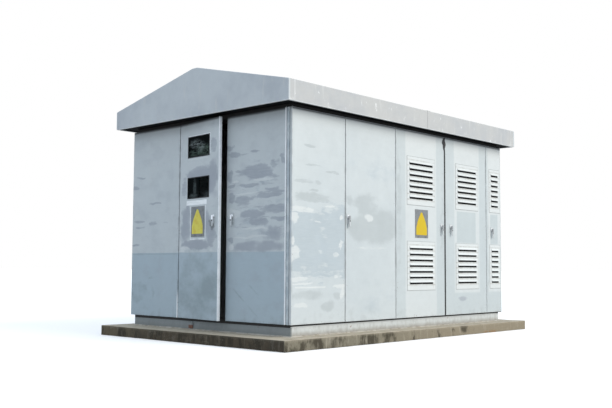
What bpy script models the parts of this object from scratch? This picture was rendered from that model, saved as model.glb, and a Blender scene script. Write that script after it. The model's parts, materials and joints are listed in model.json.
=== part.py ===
"""Package transformer kiosk on a concrete pad, built as separate pieces.

Units are metres and +Z is up. The origin is the middle of the pad's underside.
The long louvred side faces -Y and the gable end with the meter windows faces -X.
Each wall has its own frame: x runs to the right seen from outside, y runs inward
from the outer face of the leaves, and z is the height above the ground.
"""

import math

import bmesh
import bpy
from mathutils import Matrix, Vector

# Fits and clearances
SEAT = 0.0003
PIN_PLAY = 0.0004
SEAM = 0.010
GASKET_SPACE = 0.006
SETBACK = 0.001
WALL_HOLE_PLAY = 0.004
WELD_LAP = 0.004
MERGE = 0.00002
ROUND_SIDES = 10

# Main sizes of the body, over the faces of the leaves
BODY_LENGTH = 3.634
BODY_WIDTH = 2.368

# Concrete pad
PAD_HEIGHT = 0.105
PAD_END_MARGIN = 0.255
PAD_SIDE_MARGIN = 0.171

# Base frame of steel channel
BASE_HEIGHT = 0.080
BASE_FLANGE = 0.080
BASE_SHEET = 0.008
CROSS_BAR_WIDTH = 0.060
FLOOR_SHEET = 0.005
EARTH_LUG_WIDTH = 0.060
EARTH_LUG_PROUD = 0.012
EARTH_LUG_FROM_CORNER = 0.967

# Leaves of the long wall, left to right seen from outside; the second takes what is left
PLAIN_LEFT_WIDTH = 0.737
VENT_LEFT_WIDTH = 0.889
VENT_RIGHT_WIDTH = 0.851
VENT_NARROW_WIDTH = 0.328

# Leaves of the gable end, left to right seen from outside; the last takes what is left
GABLE_PANEL_WIDTH = 0.783
METER_DOOR_WIDTH = 0.702
CORNER_STRIP = 0.072

# Folded leaf
LEAF_HEIGHT = 1.955
LEAF_DEPTH = 0.025
LEAF_SHEET = 0.0025
LEAF_LIFT = 0.0274
TOP_REVEAL = 0.037
METER_DOOR_AJAR = math.radians(7.0)

# Pivots of the doors
HINGE_INSET = 0.012
HINGE_DEPTH = 0.010
PIN_RADIUS = 0.005
PIN_IN_LEAF = 0.012
PIN_TOP_REACH = 0.010
LUG_HALF_WIDTH = 0.011
LUG_NOSE = 0.008
LUG_THICKNESS = 0.005
LUG_GAP = 0.0015

# Body frame
RAIL_DEPTH = 0.050
BOTTOM_RAIL_HEIGHT = 0.050
TOP_RAIL_HEIGHT = 0.085
MULLION_WIDTH = 0.080
STRIP_CLEAR = 0.0085
STRIP_SETBACK = 0.0015

# Roof
ROOF_END_OVERHANG = 0.157
ROOF_SIDE_OVERHANG = 0.105
FASCIA_HEIGHT = 0.194
FASCIA_DROP = 0.012
RIDGE_RISE = 0.286
RIDGE_FLAT = 0.070
ROOF_SHEET = 0.003
CEILING_HEIGHT = 0.020
CEILING_SHEET = 0.003

# Louvre plates
PLATE_SHEET = 0.002
PLATE_HEIGHT = 0.508
PLATE_FOOT_MARGIN = 0.278
PLATE_HEAD_MARGIN = 0.276
PLATE_LEFT_WIDTH = 0.505
PLATE_RIGHT_WIDTH = 0.465
PLATE_NARROW_WIDTH = 0.235
PLATE_LEFT_CENTRE = 0.445
PLATE_RIGHT_CENTRE = 0.443
PLATE_NARROW_CENTRE = 0.186
PLATE_LAP = 0.020
SLOT_MARGIN = 0.045
SLOT_COUNT = 7
SLOT_PITCH = 0.060
SLOT_HEIGHT = 0.020
HOOD_DEPTH = 0.014
HOOD_ROOT = 0.020
HOOD_DROP = 0.024
HOOD_SHEET = 0.002

# Windows of the meter door
WINDOW_WIDTH = 0.380
WINDOW_HEIGHT = 0.208
WINDOW_LEFT = 0.148
WINDOW_HEAD_MARGIN = 0.147
WINDOW_SPACING = 0.411
PANE_LAP = 0.012
PANE_THICKNESS = 0.004

# Turning handles
HANDLE_SHAFT_RADIUS = 0.006
HANDLE_ROSE_RADIUS = 0.020
HANDLE_ROSE_DEPTH = 0.008
HANDLE_LEVER_LENGTH = 0.095
HANDLE_LEVER_WIDTH = 0.024
HANDLE_TIP_WIDTH = 0.019
HANDLE_LEVER_DEPTH = 0.012
HANDLE_STAND_OFF = 0.014
HANDLE_CAM_LENGTH = 0.040
HANDLE_CAM_WIDTH = 0.018
HANDLE_CAM_SHEET = 0.004
HANDLE_CAM_GAP = 0.002
VENT_HANDLE_HEIGHT = 0.965
PLAIN_HANDLE_HEIGHT = 0.995
GABLE_HANDLE_FROM_EDGE = 0.083
PLAIN_HANDLE_FROM_EDGE = 0.036
VENT_LEFT_HANDLE_FROM_EDGE = 0.067
VENT_RIGHT_HANDLE_FROM_EDGE = 0.105
VENT_NARROW_HANDLE_FROM_EDGE = 0.114

# Partitions
PARTITION_SHEET = 0.004

# Transformer
TANK_LENGTH = 1.20
TANK_WIDTH = 0.60
TANK_HEIGHT = 0.92
TANK_SKID_HEIGHT = 0.080
TANK_SKID_WIDTH = 0.080
TANK_SKID_SPREAD = 0.66
FIN_DEPTH = 0.150
FIN_THICKNESS = 0.018
FIN_COUNT = 14
FIN_MARGIN = 0.070
FIN_CLEAR = 0.090
LID_MARGIN = 0.040
LID_THICKNESS = 0.014
BUSHING_HEAD_RADIUS = 0.024
BUSHING_RADIUS = 0.029
BUSHING_SHED_RADIUS = 0.048
BUSHING_SHED_COUNT = 3
BUSHING_HEIGHT = 0.240
BUSHING_SPACING = 0.150
BUSHING_FROM_END = 0.600
BUSHING_MIDDLE_Y = 0.060
TERMINAL_LENGTH = 0.120
TERMINAL_WIDTH = 0.420
TERMINAL_HEIGHT = 0.100
TERMINAL_FROM_END = 0.160
TERMINAL_MIDDLE_Y = -0.110
STUD_RADIUS = 0.012
STUD_HEIGHT = 0.050
STUD_COUNT = 4
STUD_SPACING = 0.100
KNOB_RADIUS = 0.045
KNOB_HEIGHT = 0.040
KNOB_GRIP_LENGTH = 0.080
KNOB_GRIP_WIDTH = 0.016
KNOB_GRIP_HEIGHT = 0.020
KNOB_FROM_END = 0.200

# Ring main unit
RMU_LENGTH = 1.050
RMU_DEPTH = 0.480
RMU_HEIGHT = 1.300
RMU_WALL_GAP = 0.060
CABINET_SHEET = 0.003
LEVER_HEIGHT = 0.900
LEVER_LENGTH = 0.220
LEVER_RADIUS = 0.011
LEVER_HUB_RADIUS = 0.030
LEVER_HUB_DEPTH = 0.030

# High-voltage cables
CABLE_RADIUS = 0.018
CABLE_SPACING = 0.110
CABLE_LEVEL = 1.780
CABLE_RUN_IN = 0.100
ELBOW_RADIUS = 0.026
ELBOW_HEIGHT = 0.090

# Low-voltage switchboard
BOARD_SIDE_GAP = 0.0995
BOARD_DEPTH = 0.520
BOARD_HEIGHT = 1.740
BOARD_WALL_GAP = 0.050
DUCT_HEIGHT = 0.080
BREAKER_WIDTH = 0.300
BREAKER_HEIGHT = 0.340
BREAKER_PROUD = 0.060
BREAKER_INSIDE = 0.120
BREAKER_LEVEL = 0.780
TOGGLE_WIDTH = 0.040
TOGGLE_RADIUS = 0.014
TOGGLE_REACH = 0.050
METER_WIDTH = 0.180
METER_HEIGHT = 0.260
METER_DEPTH = 0.090
METER_LEVEL = 1.400
METER_FROM_WALL = 0.300

# Openings for the cables that come up through the pad
LV_ENTRY_LENGTH = 0.300
LV_ENTRY_WIDTH = 0.900
HV_ENTRY_LENGTH = 0.700
HV_ENTRY_WIDTH = 0.280

# Sizes that follow from the ones above
VENT_WIDTHS = (VENT_LEFT_WIDTH, VENT_RIGHT_WIDTH, VENT_NARROW_WIDTH)
PLAIN_RIGHT_WIDTH = BODY_LENGTH - PLAIN_LEFT_WIDTH - sum(VENT_WIDTHS) - SEAM * (len(VENT_WIDTHS) + 1)
LONG_WIDTHS = (PLAIN_LEFT_WIDTH, PLAIN_RIGHT_WIDTH, *VENT_WIDTHS)
SERVICE_DOOR_WIDTH = BODY_WIDTH - GABLE_PANEL_WIDTH - METER_DOOR_WIDTH - CORNER_STRIP - SEAM * 2
FRAME_INSET = LEAF_DEPTH + GASKET_SPACE
INNER_INSET = FRAME_INSET + RAIL_DEPTH
BASE_BOTTOM = PAD_HEIGHT + SEAT
BASE_TOP = BASE_BOTTOM + BASE_HEIGHT
FRAME_BOTTOM = BASE_TOP + SEAT
FLOOR_TOP = FRAME_BOTTOM + FLOOR_SHEET
STAND_LEVEL = FLOOR_TOP + SEAT
LEAF_BOTTOM = FRAME_BOTTOM + LEAF_LIFT
LEAF_TOP = LEAF_BOTTOM + LEAF_HEIGHT
PLATE_LOWER_BOTTOM = PLATE_FOOT_MARGIN
PLATE_UPPER_BOTTOM = LEAF_HEIGHT - PLATE_HEAD_MARGIN - PLATE_HEIGHT
WINDOW_UPPER_BOTTOM = LEAF_HEIGHT - WINDOW_HEAD_MARGIN - WINDOW_HEIGHT
WINDOW_LOWER_BOTTOM = WINDOW_UPPER_BOTTOM - WINDOW_SPACING
FRAME_TOP = LEAF_TOP + TOP_REVEAL
CROSS_WALL_X = -BODY_LENGTH / 2 + PLAIN_LEFT_WIDTH + PLAIN_RIGHT_WIDTH + SEAM * 1.5
SWITCH_WALL_Y = BODY_WIDTH / 2 - GABLE_PANEL_WIDTH - SEAM / 2
INNER_X = BODY_LENGTH / 2 - INNER_INSET
INNER_Y = BODY_WIDTH / 2 - INNER_INSET
TANK_X = (CROSS_WALL_X + INNER_X) / 2
TANK_TOP = STAND_LEVEL + TANK_SKID_HEIGHT + TANK_HEIGHT
LID_TOP = TANK_TOP + SEAT + LID_THICKNESS
TANK_LEFT = TANK_X - TANK_LENGTH / 2
TANK_RIGHT = TANK_X + TANK_LENGTH / 2
RMU_X = (CROSS_WALL_X - INNER_X) / 2
RMU_BACK = SWITCH_WALL_Y + RMU_WALL_GAP
RMU_FRONT = RMU_BACK + RMU_DEPTH
RMU_TOP = STAND_LEVEL + RMU_HEIGHT
BOARD_BACK = CROSS_WALL_X - BOARD_WALL_GAP
BOARD_FRONT = BOARD_BACK - BOARD_DEPTH
BOARD_Y = (SWITCH_WALL_Y - INNER_Y) / 2
BOARD_WIDTH = SWITCH_WALL_Y + INNER_Y - BOARD_SIDE_GAP * 2
DUCT_Y = TERMINAL_MIDDLE_Y
DUCT_MIDDLE = LID_TOP + SEAT + TERMINAL_HEIGHT / 2
TERMINAL_X = TANK_LEFT + TERMINAL_FROM_END

PAINT = ((0.56, 0.58, 0.57), 0.45, 0.0)
SHADE_PAINT = ((0.40, 0.45, 0.48), 0.45, 0.0)
ROOF_PAINT = ((0.62, 0.61, 0.58), 0.50, 0.0)
FRAME_PAINT = ((0.36, 0.38, 0.37), 0.55, 0.0)
DARK_PAINT = ((0.05, 0.05, 0.05), 0.60, 0.0)
INSIDE_PAINT = ((0.50, 0.51, 0.50), 0.50, 0.0)
STEEL = ((0.45, 0.45, 0.45), 0.35, 1.0)
COPPER = ((0.72, 0.42, 0.28), 0.35, 1.0)
CONCRETE = ((0.42, 0.38, 0.32), 0.90, 0.0)
GLASS = ((0.05, 0.06, 0.06), 0.08, 0.0)
CERAMIC = ((0.30, 0.12, 0.07), 0.25, 0.0)
RUBBER = ((0.03, 0.03, 0.03), 0.70, 0.0)
PLASTIC = ((0.08, 0.08, 0.09), 0.40, 0.0)
METER_CASE = ((0.60, 0.60, 0.57), 0.40, 0.0)
RED_PLASTIC = ((0.45, 0.05, 0.04), 0.40, 0.0)

GABLE, FRONT, RIGHT, REAR = "gable", "front", "right", "rear"
WALL_FRAMES = {
    FRONT: Matrix.Translation((-BODY_LENGTH / 2, -BODY_WIDTH / 2, 0)),
    GABLE: Matrix.Translation((-BODY_LENGTH / 2, BODY_WIDTH / 2, 0)) @ Matrix.Rotation(-math.pi / 2, 4, "Z"),
    REAR: Matrix.Translation((BODY_LENGTH / 2, BODY_WIDTH / 2, 0)) @ Matrix.Rotation(math.pi, 4, "Z"),
    RIGHT: Matrix.Translation((BODY_LENGTH / 2, -BODY_WIDTH / 2, 0)) @ Matrix.Rotation(math.pi / 2, 4, "Z"),
}
UPRIGHT = Matrix.Rotation(math.pi / 2, 4, "X")


def clear_scene():
    for thing in list(bpy.data.objects):
        bpy.data.objects.remove(thing, do_unlink=True)


def new_collection(name):
    made = bpy.data.collections.new(name)
    bpy.context.scene.collection.children.link(made)
    return made


clear_scene()
PARTS = new_collection("pad_mounted_transformer")
CUTTERS = new_collection("cutters")


def as_tool(name, mesh):
    """Loose solid that is still to be kept as a piece or used up by another one."""
    tool = bpy.data.objects.new(name, mesh)
    CUTTERS.objects.link(tool)
    tool.hide_render = True
    tool.display_type = "WIRE"
    return tool


def from_bmesh(name, bm):
    mesh = bpy.data.meshes.new(name)
    bm.to_mesh(mesh)
    bm.free()
    return as_tool(name, mesh)


def block(low, high, name="block"):
    bm = bmesh.new()
    low, high = Vector(low), Vector(high)
    place = Matrix.Translation((low + high) / 2) @ Matrix.Diagonal((*(high - low), 1.0))
    bmesh.ops.create_cube(bm, size=1.0, matrix=place)
    return from_bmesh(name, bm)


def rod(start, end, radius, end_radius=None, name="rod"):
    bm = bmesh.new()
    start, end = Vector(start), Vector(end)
    span = end - start
    place = Matrix.Translation((start + end) / 2) @ span.to_track_quat("Z", "Y").to_matrix().to_4x4()
    bmesh.ops.create_cone(bm, cap_ends=True, segments=ROUND_SIDES, radius1=radius,
                          radius2=radius if end_radius is None else end_radius,
                          depth=span.length, matrix=place)
    return from_bmesh(name, bm)


def bore(start, end, radius):
    """Round cutter whose flats clear a rod of the given radius by the pin play."""
    return rod(start, end, (radius + PIN_PLAY) / math.cos(math.pi / ROUND_SIDES))


def baked(thing):
    graph = bpy.context.evaluated_depsgraph_get()
    graph.update()
    return bpy.data.meshes.new_from_object(thing.evaluated_get(graph))


def slab(outlines, thickness, place, name="slab"):
    """Flat outline, with any holes, given a thickness about its own plane."""
    curve = bpy.data.curves.new(name, "CURVE")
    curve.dimensions = "2D"
    curve.fill_mode = "BOTH"
    curve.extrude = thickness / 2
    for outline in outlines:
        spline = curve.splines.new("POLY")
        spline.points.add(len(outline) - 1)
        for point, (x, y) in zip(spline.points, outline):
            point.co = (x, y, 0.0, 1.0)
        spline.use_cyclic_u = True
    return mesh_from_curve(curve, place, name)


def mesh_from_curve(curve, place, name):
    holder = as_tool(name, curve)
    bm = bmesh.new()
    bm.from_mesh(baked(holder))
    bpy.data.objects.remove(holder, do_unlink=True)
    bmesh.ops.remove_doubles(bm, verts=bm.verts, dist=MERGE)
    bm.transform(place)
    bmesh.ops.recalc_face_normals(bm, faces=bm.faces)
    return from_bmesh(name, bm)


def tube(points, radius, name="tube"):
    curve = bpy.data.curves.new(name, "CURVE")
    curve.dimensions = "3D"
    curve.bevel_depth = radius
    curve.bevel_resolution = 1
    curve.use_fill_caps = True
    curve.resolution_u = 4
    spline = curve.splines.new("BEZIER")
    spline.bezier_points.add(len(points) - 1)
    for knot, spot in zip(spline.bezier_points, points):
        knot.co = spot
        knot.handle_left_type = "AUTO"
        knot.handle_right_type = "AUTO"
    return mesh_from_curve(curve, Matrix.Identity(4), name)


def lathe(profile, name="lathe"):
    """Round piece from a profile of (radius, height), top to bottom."""
    mesh = bpy.data.meshes.new(name)
    points = [(radius, 0.0, height) for radius, height in profile]
    mesh.from_pydata(points, [(i, i + 1) for i in range(len(points) - 1)], [])
    holder = as_tool(name, mesh)
    turn = holder.modifiers.new("turn", "SCREW")
    turn.axis = "Z"
    turn.steps = ROUND_SIDES
    turn.render_steps = ROUND_SIDES
    turn.use_merge_vertices = True
    turn.merge_threshold = MERGE
    bm = bmesh.new()
    bm.from_mesh(baked(holder))
    bpy.data.objects.remove(holder, do_unlink=True)
    bmesh.ops.remove_doubles(bm, verts=bm.verts, dist=MERGE)
    bmesh.ops.recalc_face_normals(bm, faces=bm.faces)
    return from_bmesh(name, bm)


def combine(target, tools, operation):
    for tool in tools:
        change = target.modifiers.new(operation.lower(), "BOOLEAN")
        change.operation = operation
        change.solver = "EXACT"
        change.object = tool
        mesh = baked(target)
        target.modifiers.clear()
        target.data = mesh
        bpy.data.objects.remove(tool, do_unlink=True)
    return target


def weld(target, *tools):
    return combine(target, tools, "UNION")


def cut(target, *tools):
    return combine(target, tools, "DIFFERENCE")


def place_tool(tool, place):
    tool.data.transform(place)
    return tool


def keep(name, tool, finish, place=None, parent=None):
    """Turn a finished solid into a named piece with its own material."""
    colour, roughness, metallic = finish
    paint = bpy.data.materials.new(name)
    paint.use_nodes = True
    shader = paint.node_tree.nodes["Principled BSDF"]
    shader.inputs["Base Color"].default_value = (*colour, 1.0)
    shader.inputs["Roughness"].default_value = roughness
    shader.inputs["Metallic"].default_value = metallic
    tool.name = name
    tool.data.name = name
    tool.data.materials.clear()
    tool.data.materials.append(paint)
    tool.hide_render = False
    tool.display_type = "TEXTURED"
    CUTTERS.objects.unlink(tool)
    PARTS.objects.link(tool)
    tool.parent = parent
    if place is not None:
        tool.matrix_local = place
    return tool


def rectangle(low_x, low_y, high_x, high_y):
    return [(low_x, low_y), (high_x, low_y), (high_x, high_y), (low_x, high_y)]


def frame_rectangle(inset):
    reach_x = BODY_LENGTH / 2 - inset
    reach_y = BODY_WIDTH / 2 - inset
    return rectangle(-reach_x, -reach_y, reach_x, reach_y)


def entry_rectangle(middle_x, middle_y, length, width):
    return rectangle(middle_x - length / 2, middle_y - width / 2,
                     middle_x + length / 2, middle_y + width / 2)


def cable_entries():
    board_middle = (BOARD_FRONT + BOARD_BACK) / 2
    rmu_middle = (RMU_BACK + RMU_FRONT) / 2
    return [entry_rectangle(board_middle, BOARD_Y, LV_ENTRY_LENGTH, LV_ENTRY_WIDTH),
            entry_rectangle(RMU_X, rmu_middle, HV_ENTRY_LENGTH, HV_ENTRY_WIDTH)]


def level(low, high):
    return Matrix.Translation((0, 0, (low + high) / 2))


class Leaf:
    """One leaf of a wall: where it starts, how wide it is and which edge it turns on."""

    def __init__(self, name, wall, start, width, hinge, finish):
        self.name = name
        self.wall = wall
        self.start = start
        self.width = width
        self.hinge = hinge
        self.finish = finish
        self.left = -(width - HINGE_INSET) if hinge == "right" else -HINGE_INSET
        self.outer = -HINGE_DEPTH
        self.solid = None
        self.piece = None

    def hinge_x(self):
        return self.start - self.left

    def make_tray(self, depth):
        """Folded sheet tray, open at the back, about the hinge axis."""
        bm = bmesh.new()
        size = Vector((self.width, depth, LEAF_HEIGHT))
        middle = Vector((self.left, self.outer, 0)) + size / 2
        place = Matrix.Translation(middle) @ Matrix.Diagonal((*size, 1.0))
        bmesh.ops.create_cube(bm, size=1.0, matrix=place)
        back = [face for face in bm.faces if face.normal.y > 0.9]
        bmesh.ops.inset_region(bm, faces=back, thickness=LEAF_SHEET)
        floor = bmesh.ops.extrude_discrete_faces(bm, faces=back)["faces"]
        bmesh.ops.translate(bm, verts=floor[0].verts, vec=(0, LEAF_SHEET - depth, 0))
        self.solid = from_bmesh(self.name, bm)

    def add_pins(self):
        top = rod((0, 0, LEAF_HEIGHT - PIN_IN_LEAF), (0, 0, LEAF_HEIGHT + PIN_TOP_REACH), PIN_RADIUS)
        foot = rod((0, 0, -LUG_GAP - LUG_THICKNESS), (0, 0, PIN_IN_LEAF), PIN_RADIUS)
        weld(self.solid, top, foot)

    def open_sheet(self, left, bottom, width, height):
        """Rectangular opening through the front sheet, from the leaf's lower left corner."""
        low = (self.left + left, self.outer - LEAF_SHEET, bottom)
        high = (self.left + left + width, self.outer + 2 * LEAF_SHEET, bottom + height)
        cut(self.solid, block(low, high))

    def drill(self, x, z):
        start = (self.left + x, self.outer - LEAF_SHEET, z)
        end = (self.left + x, self.outer + 2 * LEAF_SHEET, z)
        cut(self.solid, bore(start, end, HANDLE_SHAFT_RADIUS))

    def hang(self, swing=0.0):
        """Place the finished leaf on its wall, turned outward by the swing."""
        turn = swing if self.hinge == "right" else -swing
        spot = Matrix.Translation((self.hinge_x(), HINGE_DEPTH, LEAF_BOTTOM))
        place = WALL_FRAMES[self.wall] @ spot @ Matrix.Rotation(turn, 4, "Z")
        self.piece = keep(self.name, self.solid, self.finish, place)

    def fit_plate(self, name, centre, bottom, width):
        """Louvre plate on the outer face of the leaf."""
        spot = (self.left + centre, self.outer - SEAT, bottom)
        keep(name, louvre_plate(width), self.finish, Matrix.Translation(spot), self.piece)

    def fit_pane(self, name, bottom):
        low = (self.left + WINDOW_LEFT - PANE_LAP, self.outer + LEAF_SHEET + SEAT, bottom - PANE_LAP)
        size = (WINDOW_WIDTH + 2 * PANE_LAP, PANE_THICKNESS, WINDOW_HEIGHT + 2 * PANE_LAP)
        pane = block((0, 0, 0), size)
        keep(name, pane, GLASS, Matrix.Translation(low), self.piece)

    def fit_handle(self, name, x, z):
        keep(name, handle(), STEEL, Matrix.Translation((self.left + x, self.outer, z)), self.piece)


def louvre_plate(width):
    """Plate with a row of slots, each under a sheet hood that opens downward."""
    outlines = [rectangle(-width / 2, 0, width / 2, PLATE_HEIGHT)]
    slot_half = width / 2 - SLOT_MARGIN
    first = (PLATE_HEIGHT - (SLOT_COUNT - 1) * SLOT_PITCH) / 2
    bottoms = [first + i * SLOT_PITCH - SLOT_HEIGHT / 2 for i in range(SLOT_COUNT)]
    for bottom in bottoms:
        outlines.append(rectangle(-slot_half, bottom, slot_half, bottom + SLOT_HEIGHT))
    middle = Matrix.Translation((0, -PLATE_SHEET / 2, 0))
    plate = slab(outlines, PLATE_SHEET, middle @ UPRIGHT)
    for bottom in bottoms:
        weld(plate, hood(slot_half, bottom + SLOT_HEIGHT))
    return plate


def hood(half_width, top):
    """Bent strip from just above a slot, running down and outward."""
    root = top + HOOD_ROOT
    lip = root - HOOD_DROP
    profile = [(-PLATE_SHEET / 2, root), (-HOOD_DEPTH, lip), (-HOOD_DEPTH + HOOD_SHEET, lip),
               (-PLATE_SHEET / 2, root - HOOD_SHEET * 3)]
    along_x = Matrix(((0, 0, 1, 0), (1, 0, 0, 0), (0, 1, 0, 0), (0, 0, 0, 1)))
    return slab([profile], 2 * (half_width - HOOD_SHEET / 2), along_x)


def handle():
    """Lever on a round rose, with its shaft and cam, about the shaft's axis."""
    face = -SEAT
    rose = rod((0, face, 0), (0, face - HANDLE_ROSE_DEPTH, 0), HANDLE_ROSE_RADIUS)
    neck = rod((0, face - HANDLE_ROSE_DEPTH / 2, 0),
               (0, face - HANDLE_STAND_OFF - HANDLE_LEVER_DEPTH / 2, 0), HANDLE_LEVER_WIDTH / 2 - SETBACK)
    half = HANDLE_LEVER_WIDTH / 2
    tip = HANDLE_TIP_WIDTH / 2
    outline = [(-half, half), (-tip, -HANDLE_LEVER_LENGTH), (tip, -HANDLE_LEVER_LENGTH), (half, half)]
    lever_middle = face - HANDLE_STAND_OFF - HANDLE_LEVER_DEPTH / 2
    lever = slab([outline], HANDLE_LEVER_DEPTH, Matrix.Translation((0, lever_middle, 0)) @ UPRIGHT)
    cam_front = LEAF_SHEET + HANDLE_CAM_GAP
    shaft = rod((0, face - HANDLE_ROSE_DEPTH / 2, 0),
                (0, cam_front + HANDLE_CAM_SHEET * 2, 0), HANDLE_SHAFT_RADIUS)
    cam_half = HANDLE_CAM_WIDTH / 2
    cam = block((-cam_half, cam_front, -HANDLE_CAM_LENGTH),
                (cam_half, cam_front + HANDLE_CAM_SHEET, cam_half))
    return weld(lever, neck, rose, shaft, cam)


def wall_starts(first, widths):
    starts = []
    here = first
    for width in widths:
        starts.append(here)
        here += width + SEAM
    return starts


def plan_leaves():
    """Every leaf of the four walls by name."""
    leaves = {}

    def add(name, wall, start, width, hinge, finish):
        leaves[name] = Leaf(name, wall, start, width, hinge, finish)

    names = ("front_door_left", "front_door_right", "front_vent_door_left", "front_vent_door_right",
             "front_vent_door_narrow")
    hinges = ("left", "right", "left", "right", "right")
    for name, start, width, hinge in zip(names, wall_starts(0, LONG_WIDTHS), LONG_WIDTHS, hinges):
        add(name, FRONT, start, width, hinge, PAINT)

    widths = (GABLE_PANEL_WIDTH, METER_DOOR_WIDTH, SERVICE_DOOR_WIDTH)
    names = ("gable_fixed_panel", "meter_door", "service_door")
    for name, start, width, hinge in zip(names, wall_starts(0, widths), widths, (None, "left", "right")):
        add(name, GABLE, start, width, hinge, SHADE_PAINT)

    widths = tuple(reversed(LONG_WIDTHS[1:])) + (PLAIN_LEFT_WIDTH - CORNER_STRIP,)
    names = ("rear_narrow_panel", "rear_vent_door_left", "rear_vent_door_right", "rear_door_left",
             "rear_door_right")
    hinges = (None, "left", "right", "left", "right")
    for name, start, width, hinge in zip(names, wall_starts(0, widths), widths, hinges):
        add(name, REAR, start, width, hinge, PAINT)

    half = (BODY_WIDTH - 2 * CORNER_STRIP - SEAM) / 2
    names = ("end_panel_front", "end_panel_rear")
    for name, start in zip(names, wall_starts(CORNER_STRIP, (half, half))):
        add(name, RIGHT, start, half, None, PAINT)
    return leaves


def make_pad():
    half_x = BODY_LENGTH / 2 + PAD_END_MARGIN
    half_y = BODY_WIDTH / 2 + PAD_SIDE_MARGIN
    outlines = [rectangle(-half_x, -half_y, half_x, half_y)] + cable_entries()
    keep("concrete_pad", slab(outlines, PAD_HEIGHT, level(0, PAD_HEIGHT)), CONCRETE)


def make_base():
    """Channel ring with its web outward, cross bars, and the earth lug on the gable side."""
    ring = slab([frame_rectangle(FRAME_INSET), frame_rectangle(FRAME_INSET + BASE_FLANGE)],
                BASE_HEIGHT, level(BASE_BOTTOM, BASE_TOP))
    groove = frame_rectangle(FRAME_INSET + BASE_SHEET)
    low, high = groove[0], groove[2]
    cut(ring, block((*low, BASE_BOTTOM + BASE_SHEET), (*high, BASE_TOP - BASE_SHEET)))
    bar_reach = BODY_WIDTH / 2 - FRAME_INSET - BASE_SHEET / 2
    half = CROSS_BAR_WIDTH / 2
    for x in (CROSS_WALL_X, TANK_X - TANK_SKID_SPREAD / 2, TANK_X + TANK_SKID_SPREAD / 2):
        weld(ring, block((x - half, -bar_reach, BASE_BOTTOM + SETBACK),
                         (x + half, bar_reach, BASE_TOP - SEAT)))
    lug_y = BODY_WIDTH / 2 - EARTH_LUG_FROM_CORNER
    face_x = -BODY_LENGTH / 2 + FRAME_INSET
    middle = (BASE_BOTTOM + BASE_TOP) / 2
    half = EARTH_LUG_WIDTH / 2
    weld(ring, block((face_x - EARTH_LUG_PROUD, lug_y - half, middle - half),
                     (face_x + BASE_SHEET / 2, lug_y + half, middle + half)))
    keep("base_frame", ring, FRAME_PAINT)


def make_floor():
    outlines = [frame_rectangle(INNER_INSET + SEAT)] + cable_entries()
    keep("floor_plate", slab(outlines, FLOOR_SHEET, level(FRAME_BOTTOM, FLOOR_TOP)), STEEL)


def wall_block(wall, low, high):
    return place_tool(block(low, high), WALL_FRAMES[wall])


def make_frame(leaves):
    """Welded rails, corner posts, mullions and the lugs that carry the door pivots."""
    outlines = [frame_rectangle(FRAME_INSET), frame_rectangle(INNER_INSET)]
    frame = slab(outlines, BOTTOM_RAIL_HEIGHT, level(FRAME_BOTTOM, FRAME_BOTTOM + BOTTOM_RAIL_HEIGHT))
    top_ring = slab(outlines, TOP_RAIL_HEIGHT, level(FRAME_TOP - TOP_RAIL_HEIGHT, FRAME_TOP))
    low_z = FRAME_BOTTOM + BOTTOM_RAIL_HEIGHT / 2
    high_z = FRAME_TOP - TOP_RAIL_HEIGHT / 2
    near = FRAME_INSET + SETBACK
    far = INNER_INSET - SETBACK
    posts = [wall_block(wall, (near, near, low_z), (far, far, high_z)) for wall in WALL_FRAMES]
    half = MULLION_WIDTH / 2
    hung_at = (("front_vent_door_left", FRONT), ("front_vent_door_narrow", FRONT), ("meter_door", GABLE),
               ("rear_vent_door_left", REAR), ("rear_door_left", REAR), ("end_panel_rear", RIGHT))
    for name, wall in hung_at:
        seam = leaves[name].start - SEAM / 2
        posts.append(wall_block(wall, (seam - half, near, low_z), (seam + half, far, high_z)))
    weld(frame, *posts)
    weld(frame, *corner_strips())
    weld(frame, top_ring)
    for leaf in leaves.values():
        if leaf.hinge:
            add_lugs(frame, leaf)
    keep("body_frame", frame, FRAME_PAINT)


def corner_strips():
    """Upright strips that fill the walls beside the corners, clear of the edges that swing past them."""
    inner = CORNER_STRIP - STRIP_CLEAR
    outer = FRAME_INSET + 2 * SETBACK
    spans = ((GABLE, BODY_WIDTH - inner, BODY_WIDTH - outer),
             (REAR, BODY_LENGTH - inner, BODY_LENGTH - outer),
             (RIGHT, outer, inner), (RIGHT, BODY_WIDTH - inner, BODY_WIDTH - outer))
    far = FRAME_INSET + RAIL_DEPTH / 2
    return [wall_block(wall, (left, STRIP_SETBACK, LEAF_BOTTOM), (right, far, LEAF_TOP))
            for wall, left, right in spans]


def add_lugs(frame, leaf):
    x = leaf.hinge_x()
    near = HINGE_DEPTH - LUG_NOSE
    far = FRAME_INSET + RAIL_DEPTH / 2
    wall_length = BODY_LENGTH if leaf.wall in (FRONT, REAR) else BODY_WIDTH
    left = min(x - LUG_HALF_WIDTH, wall_length - far)
    right = max(x + LUG_HALF_WIDTH, far)
    for low in (LEAF_BOTTOM - LUG_GAP - LUG_THICKNESS, LEAF_TOP + LUG_GAP):
        high = low + LUG_THICKNESS
        weld(frame, wall_block(leaf.wall, (left, near, low), (right, far, high)))
        hole = bore((x, HINGE_DEPTH, low - LUG_THICKNESS), (x, HINGE_DEPTH, high + LUG_THICKNESS),
                    PIN_RADIUS)
        cut(frame, place_tool(hole, WALL_FRAMES[leaf.wall]))


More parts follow.
